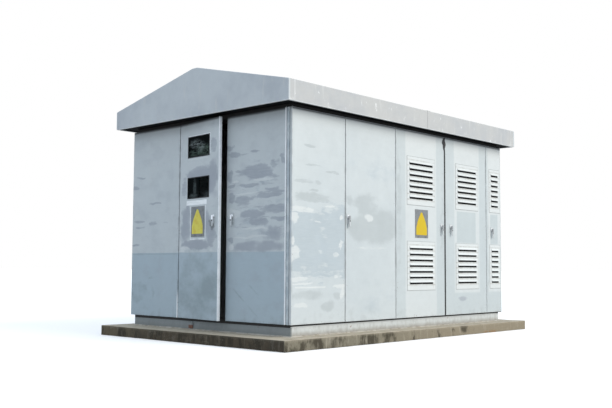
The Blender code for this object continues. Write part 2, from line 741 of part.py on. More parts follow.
def make_partitions():
    low_z = STAND_LEVEL
    high_z = FRAME_TOP - SEAT
    half = PARTITION_SHEET / 2
    cross = block((CROSS_WALL_X - half, -INNER_Y + SEAT, low_z),
                  (CROSS_WALL_X + half, INNER_Y - SEAT, high_z))
    for y in cable_rows():
        cut(cross, rod((CROSS_WALL_X - SEAM, y, CABLE_LEVEL), (CROSS_WALL_X + SEAM, y, CABLE_LEVEL),
                       CABLE_RADIUS + WALL_HOLE_PLAY))
    duct_half = TERMINAL_WIDTH / 2 + WALL_HOLE_PLAY
    duct_rise = DUCT_HEIGHT / 2 + WALL_HOLE_PLAY
    cut(cross, block((CROSS_WALL_X - SEAM, DUCT_Y - duct_half, DUCT_MIDDLE - duct_rise),
                     (CROSS_WALL_X + SEAM, DUCT_Y + duct_half, DUCT_MIDDLE + duct_rise)))
    keep("cross_partition", cross, INSIDE_PAINT)
    split = block((-INNER_X + SEAT, SWITCH_WALL_Y - half, low_z),
                  (CROSS_WALL_X - half - SEAT, SWITCH_WALL_Y + half, high_z))
    keep("switch_partition", split, INSIDE_PAINT)


def roof_outline(half_width, low, eave, ridge, half_flat):
    return [(-half_width, low), (half_width, low), (half_width, eave), (half_flat, ridge),
            (-half_flat, ridge), (-half_width, eave)]


def make_roof():
    """Folded roof of two slopes and four fascias, open below, over the ceiling tray."""
    half_x = BODY_LENGTH / 2 + ROOF_END_OVERHANG
    half_y = BODY_WIDTH / 2 + ROOF_SIDE_OVERHANG
    low = FRAME_TOP - FASCIA_DROP
    eave = low + FASCIA_HEIGHT
    ridge = eave + RIDGE_RISE
    slope = RIDGE_RISE / (half_y - RIDGE_FLAT / 2)
    sheet_rise = ROOF_SHEET * math.sqrt(1 + slope * slope)
    inner_eave = eave + ROOF_SHEET * slope - sheet_rise
    inner_flat = half_y - (ridge - ROOF_SHEET - eave + sheet_rise) / slope
    turned = Matrix(((0, 0, 1, 0), (1, 0, 0, 0), (0, 1, 0, 0), (0, 0, 0, 1)))
    shell = slab([roof_outline(half_y, low, eave, ridge, RIDGE_FLAT / 2)], 2 * half_x, turned)
    hollow = roof_outline(half_y - ROOF_SHEET, low - FASCIA_DROP, inner_eave, ridge - ROOF_SHEET, inner_flat)
    cut(shell, slab([hollow], 2 * (half_x - ROOF_SHEET), turned))
    keep("roof_shell", shell, ROOF_PAINT)
    reach_x = half_x - ROOF_SHEET - SEAT
    reach_y = half_y - ROOF_SHEET - SEAT
    bottom = FRAME_TOP + SEAT
    top = bottom + CEILING_HEIGHT
    tray = block((-reach_x, -reach_y, bottom), (reach_x, reach_y, top))
    cut(tray, block((-reach_x + CEILING_SHEET, -reach_y + CEILING_SHEET, bottom + CEILING_SHEET),
                    (reach_x - CEILING_SHEET, reach_y - CEILING_SHEET, top + CEILING_SHEET)))
    keep("ceiling_tray", tray, DARK_PAINT)


def make_vent_door(leaf, plate_centre, plate_width, handle_x):
    leaf.make_tray(LEAF_DEPTH)
    leaf.add_pins()
    hole_width = plate_width - 2 * PLATE_LAP
    for bottom in (PLATE_LOWER_BOTTOM, PLATE_UPPER_BOTTOM):
        leaf.open_sheet(plate_centre - hole_width / 2, bottom + PLATE_LAP, hole_width,
                        PLATE_HEIGHT - 2 * PLATE_LAP)
    if handle_x is not None:
        leaf.drill(handle_x, VENT_HANDLE_HEIGHT)
    leaf.hang()
    leaf.fit_plate(leaf.name + "_louvre_lower", plate_centre, PLATE_LOWER_BOTTOM, plate_width)
    leaf.fit_plate(leaf.name + "_louvre_upper", plate_centre, PLATE_UPPER_BOTTOM, plate_width)
    if handle_x is not None:
        leaf.fit_handle(leaf.name + "_handle", handle_x, VENT_HANDLE_HEIGHT)


def make_plain_door(leaf, handle_x):
    leaf.make_tray(LEAF_DEPTH)
    leaf.add_pins()
    if handle_x is not None:
        leaf.drill(handle_x, PLAIN_HANDLE_HEIGHT)
    leaf.hang()
    if handle_x is not None:
        leaf.fit_handle(leaf.name + "_handle", handle_x, PLAIN_HANDLE_HEIGHT)


def make_meter_door(leaf):
    leaf.make_tray(LEAF_DEPTH)
    leaf.add_pins()
    for bottom in (WINDOW_LOWER_BOTTOM, WINDOW_UPPER_BOTTOM):
        leaf.open_sheet(WINDOW_LEFT, bottom, WINDOW_WIDTH, WINDOW_HEIGHT)
    handle_x = leaf.width - GABLE_HANDLE_FROM_EDGE
    leaf.drill(handle_x, PLAIN_HANDLE_HEIGHT)
    leaf.hang(METER_DOOR_AJAR)
    leaf.fit_pane("meter_window_lower", WINDOW_LOWER_BOTTOM)
    leaf.fit_pane("meter_window_upper", WINDOW_UPPER_BOTTOM)
    leaf.fit_handle("meter_door_handle", handle_x, PLAIN_HANDLE_HEIGHT)


def make_fixed_panel(leaf):
    leaf.make_tray(FRAME_INSET - SEAT)
    leaf.hang()


def make_walls(leaves):
    make_plain_door(leaves["front_door_left"], None)
    make_plain_door(leaves["front_door_right"], PLAIN_HANDLE_FROM_EDGE)
    for side, mirrored in (("front", False), ("rear", True)):
        left = leaves[side + "_vent_door_left"]
        right = leaves[side + "_vent_door_right"]
        wide, slim = (right, left) if mirrored else (left, right)
        wide_centre = wide.width - PLATE_LEFT_CENTRE if mirrored else PLATE_LEFT_CENTRE
        slim_centre = slim.width - PLATE_RIGHT_CENTRE if mirrored else PLATE_RIGHT_CENTRE
        wide_handle = None if mirrored else wide.width - VENT_LEFT_HANDLE_FROM_EDGE
        slim_handle = slim.width - VENT_RIGHT_HANDLE_FROM_EDGE if mirrored else VENT_RIGHT_HANDLE_FROM_EDGE
        make_vent_door(wide, wide_centre, PLATE_LEFT_WIDTH, wide_handle)
        make_vent_door(slim, slim_centre, PLATE_RIGHT_WIDTH, slim_handle)
    make_vent_door(leaves["front_vent_door_narrow"], PLATE_NARROW_CENTRE, PLATE_NARROW_WIDTH,
                   VENT_NARROW_HANDLE_FROM_EDGE)
    make_meter_door(leaves["meter_door"])
    make_plain_door(leaves["service_door"], GABLE_HANDLE_FROM_EDGE)
    make_plain_door(leaves["rear_door_left"], leaves["rear_door_left"].width - PLAIN_HANDLE_FROM_EDGE)
    make_plain_door(leaves["rear_door_right"], None)
    for name in ("gable_fixed_panel", "rear_narrow_panel", "end_panel_front", "end_panel_rear"):
        make_fixed_panel(leaves[name])


def bushing_rows():
    return [BUSHING_MIDDLE_Y + (i - 1) * BUSHING_SPACING for i in range(3)]


def cable_rows():
    middle = (RMU_BACK + RMU_FRONT) / 2
    return [middle + (i - 1) * CABLE_SPACING for i in range(3)]


def make_transformer():
    """Corrugated tank on skids, its cover, and what stands on the cover."""
    half_y = TANK_WIDTH / 2
    tank_low = STAND_LEVEL + TANK_SKID_HEIGHT
    tank = block((TANK_LEFT, -half_y, tank_low), (TANK_RIGHT, half_y, TANK_TOP))
    step = (TANK_LENGTH - 2 * FIN_MARGIN) / (FIN_COUNT - 1)
    for i in range(FIN_COUNT):
        x = TANK_LEFT + FIN_MARGIN + i * step
        weld(tank, block((x - FIN_THICKNESS / 2, -half_y - FIN_DEPTH, tank_low + FIN_CLEAR),
                         (x + FIN_THICKNESS / 2, half_y + FIN_DEPTH, TANK_TOP - FIN_CLEAR)))
    for side in (-1, 1):
        x = TANK_X + side * TANK_SKID_SPREAD / 2
        weld(tank, block((x - TANK_SKID_WIDTH / 2, -half_y - FIN_DEPTH / 2, STAND_LEVEL),
                         (x + TANK_SKID_WIDTH / 2, half_y + FIN_DEPTH / 2, tank_low + WELD_LAP)))
    keep("transformer_tank", tank, FRAME_PAINT)
    lid = block((TANK_LEFT - LID_MARGIN, -half_y - LID_MARGIN, TANK_TOP + SEAT),
                (TANK_RIGHT + LID_MARGIN, half_y + LID_MARGIN, LID_TOP))
    keep("transformer_lid", lid, FRAME_PAINT)
    foot = LID_TOP + SEAT
    for i, y in enumerate(bushing_rows()):
        keep("hv_bushing_%d" % (i + 1), bushing(), CERAMIC,
             Matrix.Translation((TANK_LEFT + BUSHING_FROM_END, y, foot)))
    keep("lv_terminal_block", terminal_block(), PLASTIC,
         Matrix.Translation((TERMINAL_X, TERMINAL_MIDDLE_Y, foot)))
    knob = rod((0, 0, 0), (0, 0, KNOB_HEIGHT), KNOB_RADIUS)
    weld(knob, block((-KNOB_GRIP_LENGTH / 2, -KNOB_GRIP_WIDTH / 2, KNOB_HEIGHT - WELD_LAP),
                     (KNOB_GRIP_LENGTH / 2, KNOB_GRIP_WIDTH / 2, KNOB_HEIGHT + KNOB_GRIP_HEIGHT)))
    keep("tap_changer_knob", knob, RED_PLASTIC, Matrix.Translation((TANK_RIGHT - KNOB_FROM_END, 0, foot)))


def bushing():
    """Insulator with sheds: the height is shared by the sheds, the head and the foot."""
    step = BUSHING_HEIGHT / (2 * BUSHING_SHED_COUNT + 2)
    half_step = step / 2
    profile = [(0.0, BUSHING_HEIGHT), (BUSHING_HEAD_RADIUS, BUSHING_HEIGHT)]
    for i in range(BUSHING_SHED_COUNT):
        top = BUSHING_HEIGHT - step - half_step - 2 * step * i
        profile += [(BUSHING_RADIUS, top), (BUSHING_SHED_RADIUS, top - half_step),
                    (BUSHING_RADIUS, top - step)]
    profile += [(BUSHING_SHED_RADIUS, half_step), (BUSHING_SHED_RADIUS, 0.0), (0.0, 0.0)]
    return lathe(profile)


def terminal_block():
    body = block((-TERMINAL_LENGTH / 2, -TERMINAL_WIDTH / 2, 0),
                 (TERMINAL_LENGTH / 2, TERMINAL_WIDTH / 2, TERMINAL_HEIGHT))
    for i in range(STUD_COUNT):
        y = (i - (STUD_COUNT - 1) / 2) * STUD_SPACING
        weld(body, rod((0, y, TERMINAL_HEIGHT - WELD_LAP), (0, y, TERMINAL_HEIGHT + STUD_HEIGHT),
                       STUD_RADIUS))
    return body


def cabinet(low, high):
    """Sheet cabinet that is open below for its cables."""
    shell = block(low, high)
    inner_low = (low[0] + CABINET_SHEET, low[1] + CABINET_SHEET, low[2] - CABINET_SHEET)
    inner_high = tuple(value - CABINET_SHEET for value in high)
    return cut(shell, block(inner_low, inner_high))


def make_ring_main_unit():
    shell = cabinet((RMU_X - RMU_LENGTH / 2, RMU_BACK, STAND_LEVEL),
                    (RMU_X + RMU_LENGTH / 2, RMU_FRONT, RMU_TOP))
    pivot = Vector((RMU_X, RMU_FRONT, STAND_LEVEL + LEVER_HEIGHT))
    cut(shell, bore(pivot - Vector((0, SEAM, 0)), pivot + Vector((0, SEAM, 0)), LEVER_RADIUS))
    keep("ring_main_unit", shell, INSIDE_PAINT)
    hub = rod((0, SEAT, 0), (0, LEVER_HUB_DEPTH, 0), LEVER_HUB_RADIUS)
    arm = rod((0, LEVER_HUB_DEPTH / 2, 0), (0, LEVER_HUB_DEPTH / 2, -LEVER_LENGTH), LEVER_RADIUS)
    shaft = rod((0, LEVER_HUB_DEPTH / 2, 0), (0, -LEVER_HUB_DEPTH, 0), LEVER_RADIUS)
    keep("rmu_operating_lever", weld(hub, arm, shaft), RED_PLASTIC, Matrix.Translation(pivot))


def make_cables():
    """High-voltage cables from the ring main unit over the partition wall to the bushings."""
    start_x = RMU_X + RMU_LENGTH / 2 - CABLE_RUN_IN
    end_x = TANK_LEFT + BUSHING_FROM_END
    start_z = RMU_TOP + SEAT
    end_z = LID_TOP + SEAT + BUSHING_HEIGHT + SEAT
    for i, (row, seat) in enumerate(zip(cable_rows(), bushing_rows())):
        points = [(start_x, row, start_z), (start_x, row, start_z + CABLE_RUN_IN),
                  (start_x + CABLE_RUN_IN, row, CABLE_LEVEL), (CROSS_WALL_X, row, CABLE_LEVEL),
                  (CROSS_WALL_X + CABLE_RUN_IN, row, CABLE_LEVEL),
                  (end_x - CABLE_RUN_IN, seat, CABLE_LEVEL), (end_x, seat, CABLE_LEVEL - CABLE_RUN_IN),
                  (end_x, seat, end_z + ELBOW_HEIGHT / 2)]
        cable = tube(points, CABLE_RADIUS)
        boot = rod((end_x, seat, end_z), (end_x, seat, end_z + ELBOW_HEIGHT), ELBOW_RADIUS)
        keep("hv_cable_%d" % (i + 1), weld(cable, boot), RUBBER)


def make_switchboard():
    low = (BOARD_FRONT, BOARD_Y - BOARD_WIDTH / 2, STAND_LEVEL)
    high = (BOARD_BACK, BOARD_Y + BOARD_WIDTH / 2, STAND_LEVEL + BOARD_HEIGHT)
    board = cabinet(low, high)
    half = BREAKER_WIDTH / 2
    bottom = STAND_LEVEL + BREAKER_LEVEL
    cut(board, block((BOARD_FRONT - SEAM, BOARD_Y - half - SEAT, bottom - SEAT),
                     (BOARD_FRONT + SEAM, BOARD_Y + half + SEAT, bottom + BREAKER_HEIGHT + SEAT)))
    keep("lv_switchboard", board, INSIDE_PAINT)
    front = BOARD_FRONT - BREAKER_PROUD
    breaker = block((front, BOARD_Y - half, bottom),
                    (BOARD_FRONT + BREAKER_INSIDE, BOARD_Y + half, bottom + BREAKER_HEIGHT))
    pivot_z = bottom + BREAKER_HEIGHT / 2
    pocket_reach = TOGGLE_RADIUS * 2 + SEAT
    pocket_half = TOGGLE_WIDTH / 2 + SEAT
    cut(breaker, block((front - SEAM, BOARD_Y - pocket_half, pivot_z - pocket_reach),
                       (front + pocket_reach, BOARD_Y + pocket_half, pivot_z + pocket_reach)))
    keep("main_breaker", breaker, PLASTIC)
    toggle = rod((0, -TOGGLE_WIDTH / 2, 0), (0, TOGGLE_WIDTH / 2, 0), TOGGLE_RADIUS)
    weld(toggle, block((-TOGGLE_REACH, -TOGGLE_WIDTH / 2 + SETBACK, -TOGGLE_RADIUS / 2),
                       (0, TOGGLE_WIDTH / 2 - SETBACK, TOGGLE_RADIUS / 2)))
    keep("main_breaker_toggle", toggle, RED_PLASTIC,
         Matrix.Translation((front + TOGGLE_RADIUS, BOARD_Y, pivot_z)))
    meter_y = BOARD_Y + BOARD_WIDTH / 2 - METER_FROM_WALL
    meter_low = STAND_LEVEL + METER_LEVEL
    meter = block((BOARD_FRONT - SEAT - METER_DEPTH, meter_y - METER_WIDTH / 2, meter_low),
                  (BOARD_FRONT - SEAT, meter_y + METER_WIDTH / 2, meter_low + METER_HEIGHT))
    keep("energy_meter", meter, METER_CASE)
    duct_half = TERMINAL_WIDTH / 2
    duct_end = TERMINAL_X - TERMINAL_LENGTH / 2 - SEAT
    duct = block((BOARD_BACK + SEAT, DUCT_Y - duct_half, DUCT_MIDDLE - DUCT_HEIGHT / 2),
                 (duct_end, DUCT_Y + duct_half, DUCT_MIDDLE + DUCT_HEIGHT / 2))
    keep("lv_bus_duct", duct, COPPER)


def main():
    leaves = plan_leaves()
    make_pad()
    make_base()
    make_floor()
    make_frame(leaves)
    make_partitions()
    make_roof()
    make_walls(leaves)
    make_transformer()
    make_ring_main_unit()
    make_cables()
    make_switchboard()
    bpy.data.collections.remove(CUTTERS)


main()
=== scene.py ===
"""Looks of a pad-mounted transformer kiosk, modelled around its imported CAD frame.

Every length is in metres. X runs along the kiosk, the louvred long side faces -Y and the
gable end with the meter windows faces -X. A leaf is one door or fixed panel of a wall, and
its own frame has x to the right seen from outside, y inward and z up from its lower left corner.
"""

import json
import math

import bmesh
import bpy
from mathutils import Matrix, Vector

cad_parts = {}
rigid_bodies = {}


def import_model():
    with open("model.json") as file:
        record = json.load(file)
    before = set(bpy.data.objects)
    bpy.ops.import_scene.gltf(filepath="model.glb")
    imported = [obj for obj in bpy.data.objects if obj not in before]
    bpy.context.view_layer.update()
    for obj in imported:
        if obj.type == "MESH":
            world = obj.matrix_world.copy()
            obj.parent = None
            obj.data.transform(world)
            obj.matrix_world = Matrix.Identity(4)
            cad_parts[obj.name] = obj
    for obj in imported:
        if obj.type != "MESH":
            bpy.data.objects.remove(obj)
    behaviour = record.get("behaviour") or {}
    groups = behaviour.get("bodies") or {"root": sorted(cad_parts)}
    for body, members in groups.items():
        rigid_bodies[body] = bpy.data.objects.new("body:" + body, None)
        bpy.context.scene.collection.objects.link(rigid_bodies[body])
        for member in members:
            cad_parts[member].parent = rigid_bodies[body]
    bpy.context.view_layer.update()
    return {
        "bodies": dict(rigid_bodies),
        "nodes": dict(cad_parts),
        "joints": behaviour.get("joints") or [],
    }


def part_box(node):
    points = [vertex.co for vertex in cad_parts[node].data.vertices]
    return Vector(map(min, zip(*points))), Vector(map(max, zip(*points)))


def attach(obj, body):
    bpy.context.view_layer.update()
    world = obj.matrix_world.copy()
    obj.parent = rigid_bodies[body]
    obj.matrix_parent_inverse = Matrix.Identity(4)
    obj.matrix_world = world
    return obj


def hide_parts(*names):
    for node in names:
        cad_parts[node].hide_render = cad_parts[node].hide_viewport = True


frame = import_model()

bl_info = {
    "name": "Transformer kiosk",
    "version": (1, 0, 0),
    "blender": (4, 5, 0),
    "location": "View3D > Sidebar > Kiosk",
    "description": "Models and paints a pad-mounted transformer kiosk around its CAD frame",
    "category": "Object",
}

# Places that follow from the frame
PANEL_LOW, PANEL_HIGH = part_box("gable_fixed_panel")
ROOF_LOW, ROOF_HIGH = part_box("roof_shell")
BASE_LOW, BASE_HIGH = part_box("base_frame")
PAD_LOW, PAD_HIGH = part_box("concrete_pad")
HALF_LENGTH = -PANEL_LOW.x
HALF_WIDTH = PANEL_HIGH.y
LEAF_BOTTOM = PANEL_LOW.z
LEAF_HEIGHT = PANEL_HIGH.z - PANEL_LOW.z

# Sheet, seams and hinges of the leaves
FRAME_INSET = 0.031
LEAF_SHEET = 0.0025
SEAM = 0.010
HINGE_INSET = 0.012
HINGE_DEPTH = 0.010
METER_DOOR_AJAR = math.radians(7.0)
EPS = 0.0005

# Places where a finish changes
GABLE_LINE = 0.652
CORNER_STRIP = 0.073
PLATE_JOINT = 0.005
EARTH_TERMINAL_X = -1.787
EARTH_TERMINAL_Y = 0.217
PAD_BLOT_X = 0.715
PAD_STAIN_X = 1.28
ROOF_ANGLE_EDGE = 0.079
ROOF_FASCIA = 0.190

WALLS = {
    "front": Matrix.Translation((-HALF_LENGTH, -HALF_WIDTH, 0)),
    "gable": Matrix.Translation((-HALF_LENGTH, HALF_WIDTH, 0)) @ Matrix.Rotation(-math.pi / 2, 4, "Z"),
    "rear": Matrix.Translation((HALF_LENGTH, HALF_WIDTH, 0)) @ Matrix.Rotation(math.pi, 4, "Z"),
    "right": Matrix.Translation((HALF_LENGTH, -HALF_WIDTH, 0)) @ Matrix.Rotation(math.pi / 2, 4, "Z"),
}

# Camera, fitted to the corners of the pad, the body and the roof
CAMERA_PLACE = Vector((-7.3255, -6.4544, 0.7197))
CAMERA_YAW = math.radians(42.7735)
CAMERA_PITCH = math.radians(4.2537)
CAMERA_ROLL = math.radians(0.3017)
CAMERA_LENS = 50.43
CAMERA_SENSOR = 36.0


# Modelling by operators


def deselect():
    if bpy.context.mode != "OBJECT":
        bpy.ops.object.mode_set(mode="OBJECT")
    bpy.ops.object.select_all(action="DESELECT")


def focus(*things):
    deselect()
    for thing in things:
        thing.select_set(True)
    bpy.context.view_layer.objects.active = things[0]


def name_new(name):
    """Name the object that an add operator has just made and put its place into its mesh."""
    thing = bpy.context.object
    thing.name = name
    thing.data.name = name
    focus(thing)
    bpy.ops.object.transform_apply(location=True, rotation=True, scale=True)
    return thing


def add_block(low, high, name="block"):
    low, high = Vector(low), Vector(high)
    deselect()
    bpy.ops.mesh.primitive_cube_add(size=1.0, location=(low + high) / 2)
    bpy.context.object.scale = high - low
    return name_new(name)


def add_rod(start, end, radius, sides=16, name="rod"):
    start, end = Vector(start), Vector(end)
    turn = (end - start).to_track_quat("Z", "Y").to_euler()
    deselect()
    bpy.ops.mesh.primitive_cylinder_add(vertices=sides, radius=radius, depth=(end - start).length,
                                        location=(start + end) / 2, rotation=turn)
    return name_new(name)


def modify(thing, kind, **settings):
    """Add one modifier and apply it."""
    focus(thing)
    change = thing.modifiers.new(kind.lower(), kind)
    for name, setting in settings.items():
        setattr(change, name, setting)
    bpy.ops.object.modifier_apply(modifier=change.name)
    return thing


def soften(thing, width, segments=2):
    """Round every sharp edge of a piece."""
    return modify(thing, "BEVEL", width=width, segments=segments, limit_method="ANGLE",
                  angle_limit=math.radians(35), harden_normals=False)


def soft_block(low, high, radius, segments=2):
    return soften(add_block(low, high), radius, segments)


def soft_rod(start, end, radius, sides, edge, segments=2):
    return soften(add_rod(start, end, radius, sides), edge, segments)


def cut(thing, *tools):
    for tool in tools:
        modify(thing, "BOOLEAN", operation="DIFFERENCE", solver="EXACT", object=tool)
        bpy.data.objects.remove(tool, do_unlink=True)
    return thing


def join(name, *things):
    focus(*things)
    if len(things) > 1:
        bpy.ops.object.join()
    things[0].name = name
    things[0].data.name = name
    return things[0]


def copy_to(model, place, name="copy"):
    """Copy of a modelled piece with its own mesh, moved to its place."""
    mesh = model.data.copy()
    mesh.transform(place)
    thing = bpy.data.objects.new(name, mesh)
    bpy.context.scene.collection.objects.link(thing)
    mesh.name = thing.name
    return thing


def merged(node):
    """Copy of a CAD node whose loose triangles are joined into whole faces."""
    thing = copy_to(frame["nodes"][node], frame["nodes"][node].matrix_world, node + "_copy")
    with Edit(thing, "EDGE"):
        bpy.ops.mesh.select_all(action="SELECT")
        bpy.ops.mesh.remove_doubles(threshold=0.0001)
        bpy.ops.mesh.dissolve_limited(angle_limit=math.radians(1))
    return thing


def discard(*things):
    for thing in things:
        bpy.data.objects.remove(thing, do_unlink=True)


class Edit:
    """Edit mode on one piece, where parts of it are picked by a test of their place."""

    def __init__(self, thing, kind="FACE"):
        self.thing = thing
        self.kind = kind

    def __enter__(self):
        focus(self.thing)
        bpy.ops.object.mode_set(mode="EDIT")
        bpy.ops.mesh.select_mode(type=self.kind)
        return self

    def __exit__(self, *failure):
        bpy.ops.object.mode_set(mode="OBJECT")

    def pick(self, test):
        bpy.ops.mesh.select_all(action="DESELECT")
        mesh = bmesh.from_edit_mesh(self.thing.data)
        parts = {"VERT": mesh.verts, "EDGE": mesh.edges, "FACE": mesh.faces}[self.kind]
        picked = [part for part in parts if test(part)]
        if not picked:
            raise RuntimeError("nothing was picked on " + self.thing.name)
        for part in picked:
            part.select_set(True)
        mesh.select_flush_mode()
        bmesh.update_edit_mesh(self.thing.data)

    def slice(self, place, normal):
        """Cut the whole mesh along a plane."""
        bpy.ops.mesh.select_all(action="SELECT")
        bpy.ops.mesh.bisect(plane_co=place, plane_no=normal)

    def extrude(self, *step):
        bpy.ops.mesh.extrude_region_move(TRANSFORM_OT_translate={"value": step})


def middle(part):
    """Middle of a face or an edge."""
    points = [vert.co for vert in part.verts]
    return sum(points, Vector()) / len(points)


def finish_piece(thing, name, body, material=None, replaced=(), smooth=35):
    """Name a modelled piece, give it its finish and let it ride on its body."""
    thing.name = name
    thing.data.name = name
    if material is not None:
        thing.data.materials.clear()
        thing.data.materials.append(material)
    focus(thing)
    bpy.ops.object.shade_smooth_by_angle(angle=math.radians(smooth))
    modify(thing, "WEIGHTED_NORMAL", keep_sharp=True)
    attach(thing, body)
    if replaced:
        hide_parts(*replaced)
    return thing


def finish_group(name, slot, look, *things):
    """Join things that stand still into one piece of the kiosk with one finish."""
    return finish_piece(join(name, *things), name, "kiosk", finish(look))


def paint_node(name, material):
    """Give a CAD node that stays as it is a better material."""
    thing = frame["nodes"][name]
    if not thing.material_slots:
        raise RuntimeError("no material slot on " + name)
    for place in thing.material_slots:
        place.link = "OBJECT"
        place.material = material


# Shader maths


class Value:
    """One socket of a node tree. An operator on numbers adds a Math node."""

    def __init__(self, shader, socket):
        self.shader = shader
        self.socket = socket

    def __add__(self, other):
        return self.shader.math("ADD", self, other)

    __radd__ = __add__

    def __sub__(self, other):
        return self.shader.math("SUBTRACT", self, other)

    def __rsub__(self, other):
        return self.shader.math("SUBTRACT", other, self)

    def __mul__(self, other):
        return self.shader.math("MULTIPLY", self, other)

    __rmul__ = __mul__

    def __truediv__(self, other):
        return self.shader.math("DIVIDE", self, other)

    def __rtruediv__(self, other):
        return self.shader.math("DIVIDE", other, self)

    def __abs__(self):
        return self.shader.math("ABSOLUTE", self, 0.0)

    def least(self, other):
        return self.shader.math("MINIMUM", self, other)

    def most(self, other):
        return self.shader.math("MAXIMUM", self, other)

    def merge(self, other, soft):
        """Larger of two values, rounded where they meet."""
        return self.shader.node("ShaderNodeMath", {"operation": "SMOOTH_MAX"}, {0: self, 1: other, 2: soft})

    def rise(self, start, end):
        """0 below start, 1 above end, smooth between."""
        return self.shader.node("ShaderNodeMapRange", {"interpolation_type": "SMOOTHSTEP"},
                                {0: self, 1: start, 2: end})


class Nodes:
    """Node tree of a material or of the world."""

    def __init__(self, owner):
        owner.use_nodes = True
        self.tree = owner.node_tree

    def node(self, kind, settings=None, inputs=None, output=0):
        made = self.tree.nodes.new(kind)
        for name, setting in (settings or {}).items():
            setattr(made, name, setting)
        for key, value in (inputs or {}).items():
            self.feed(made.inputs[key], value)
        return Value(self, made.outputs[output])

    def feed(self, socket, value):
        if isinstance(value, Value):
            self.tree.links.new(value.socket, socket)
        elif socket.type == "RGBA" and len(value) == 3:
            socket.default_value = (*value, 1.0)
        else:
            socket.default_value = value


class Shader(Nodes):
    """Node tree of one material that ends in a Principled shader."""

    def __init__(self, name):
        self.material = bpy.data.materials.new(name)
        super().__init__(self.material)
        self.surface = self.tree.nodes["Principled BSDF"]
        self.place = self.node("ShaderNodeTexCoord", output="Object")
        self.x, self.y, self.z = (self.node("ShaderNodeSeparateXYZ", {}, {0: self.place}, axis)
                                  for axis in "XYZ")

    def math(self, operation, first, second):
        return self.node("ShaderNodeMath", {"operation": operation}, {0: first, 1: second})

    def mix(self, factor, first, second):
        """Colour between two colours."""
        return self.node("ShaderNodeMix", {"data_type": "RGBA"}, {0: factor, 6: first, 7: second}, 2)

    def shade(self, colour, factor):
        """Colour times a number."""
        grey = self.node("ShaderNodeCombineColor", {}, {0: factor, 1: factor, 2: factor})
        return self.node("ShaderNodeMix", {"data_type": "RGBA", "blend_type": "MULTIPLY"},
                         {0: 1.0, 6: colour, 7: grey}, 2)

    def stretch(self, scale):
        return self.node("ShaderNodeMapping", {}, {"Vector": self.place, "Scale": scale})

    def noise(self, scale, detail=3.0, rough=0.55, stretch=None, bend=0.0):
        place = self.place if stretch is None else self.stretch(stretch)
        return self.node("ShaderNodeTexNoise", {}, {"Vector": place, "Scale": scale, "Detail": detail,
                                                    "Roughness": rough, "Distortion": bend})

    def spots(self, scale):
        """Distance to the nearest of scattered points."""
        return self.node("ShaderNodeTexVoronoi", {}, {"Vector": self.place, "Scale": scale})

    def bump(self, height, distance, strength=0.5):
        normal = self.node("ShaderNodeBump", {},
                           {"Height": height, "Distance": distance, "Strength": strength})
        self.feed(self.surface.inputs["Normal"], normal)

    def end(self, colour, roughness, **constants):
        """Feed the Principled shader and give back the material."""
        self.feed(self.surface.inputs["Base Color"], colour)
        self.feed(self.surface.inputs["Roughness"], roughness)
        for name, value in constants.items():
            self.feed(self.surface.inputs[name.replace("_", " ").title().replace("Ior", "IOR")], value)
        return self.material


# Leaves


class Leaf:
    """One leaf of a wall, where it starts from the wall's left corner and how wide it is."""

    def __init__(self, name, wall, start, width, swing=0.0):
        self.name = name
        self.wall = wall
        self.start = start
        self.width = width
        self.swing = swing
        self.fixed = name not in frame["bodies"]
        self.body = "kiosk" if self.fixed else name
        self.slot = "gable_paint" if wall == "gable" else "wall_paint"

    def place(self, x=0.0, y=0.0, z=0.0):
        """Matrix from the leaf's own frame, moved to a point of it, to the row frame."""
        here = WALLS[self.wall] @ Matrix.Translation((self.start, 0, LEAF_BOTTOM))
        if self.swing:
            hinge = Vector((HINGE_INSET, HINGE_DEPTH, 0))
            turn = Matrix.Rotation(-self.swing, 4, "Z")
            here = here @ Matrix.Translation(hinge) @ turn @ Matrix.Translation(-hinge)
        return here @ Matrix.Translation((x, y, z))

    def axes(self, shader):
        """Values for the distance from the leaf's left edge, inward from its face and up from its foot."""
        corner = self.place().to_translation()
        turn = self.place().to_3x3()
        lines = (turn @ Vector((1, 0, 0)), turn @ Vector((0, 1, 0)))
        across, depth = (shader.x * line.x + shader.y * line.y - corner.dot(line) for line in lines)
        return across, depth, shader.z - LEAF_BOTTOM


def wall_span(wall, name):
    """Start and width of a leaf that hangs straight in its wall, from its CAD box."""
    inverse = WALLS[wall].inverted()
    ends = [(inverse @ corner).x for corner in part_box(name)]
    return min(ends), max(ends) - min(ends)


def plan_leaves():
    leaves = {}
    walls = {
        "front": ("front_door_left", "front_door_right", "front_vent_door_left",
                  "front_vent_door_right", "front_vent_door_narrow"),
        "gable": ("gable_fixed_panel", "service_door"),
        "rear": ("rear_narrow_panel", "rear_vent_door_left", "rear_vent_door_right",
                 "rear_door_left", "rear_door_right"),
        "right": ("end_panel_front", "end_panel_rear"),
    }
    for wall, names in walls.items():
        for name in names:
            leaves[name] = Leaf(name, wall, *wall_span(wall, name))
    fixed = leaves["gable_fixed_panel"]
    start = fixed.start + fixed.width + SEAM
    width = leaves["service_door"].start - SEAM - start
    leaves["meter_door"] = Leaf("meter_door", "gable", start, width, METER_DOOR_AJAR)
    return leaves


LEAVES = plan_leaves()
LOUVRE_NODES = [name for name in frame["nodes"] if "_louvre_" in name]
HANDLE_NODES = [name for name in frame["nodes"] if name.endswith("_handle")]
JOINT_PLACES = {joint["child"]: Vector(joint["pos_m"]) for joint in frame["joints"]}


def leaf_of(name):
    """Leaf that carries a node, from the start of the node's name."""
    return LEAVES[max((leaf for leaf in LEAVES if name.startswith(leaf)), key=len)]


# Sizes and colours that a user would change


def length(name, description, default):
    return bpy.props.FloatProperty(name=name, description=description, default=default, min=0.0,
                                   precision=4, unit="LENGTH")


def colour(name, description, default):
    return bpy.props.FloatVectorProperty(name=name, description=description, default=default, size=3,
                                         min=0.0, max=1.0, subtype="COLOR")


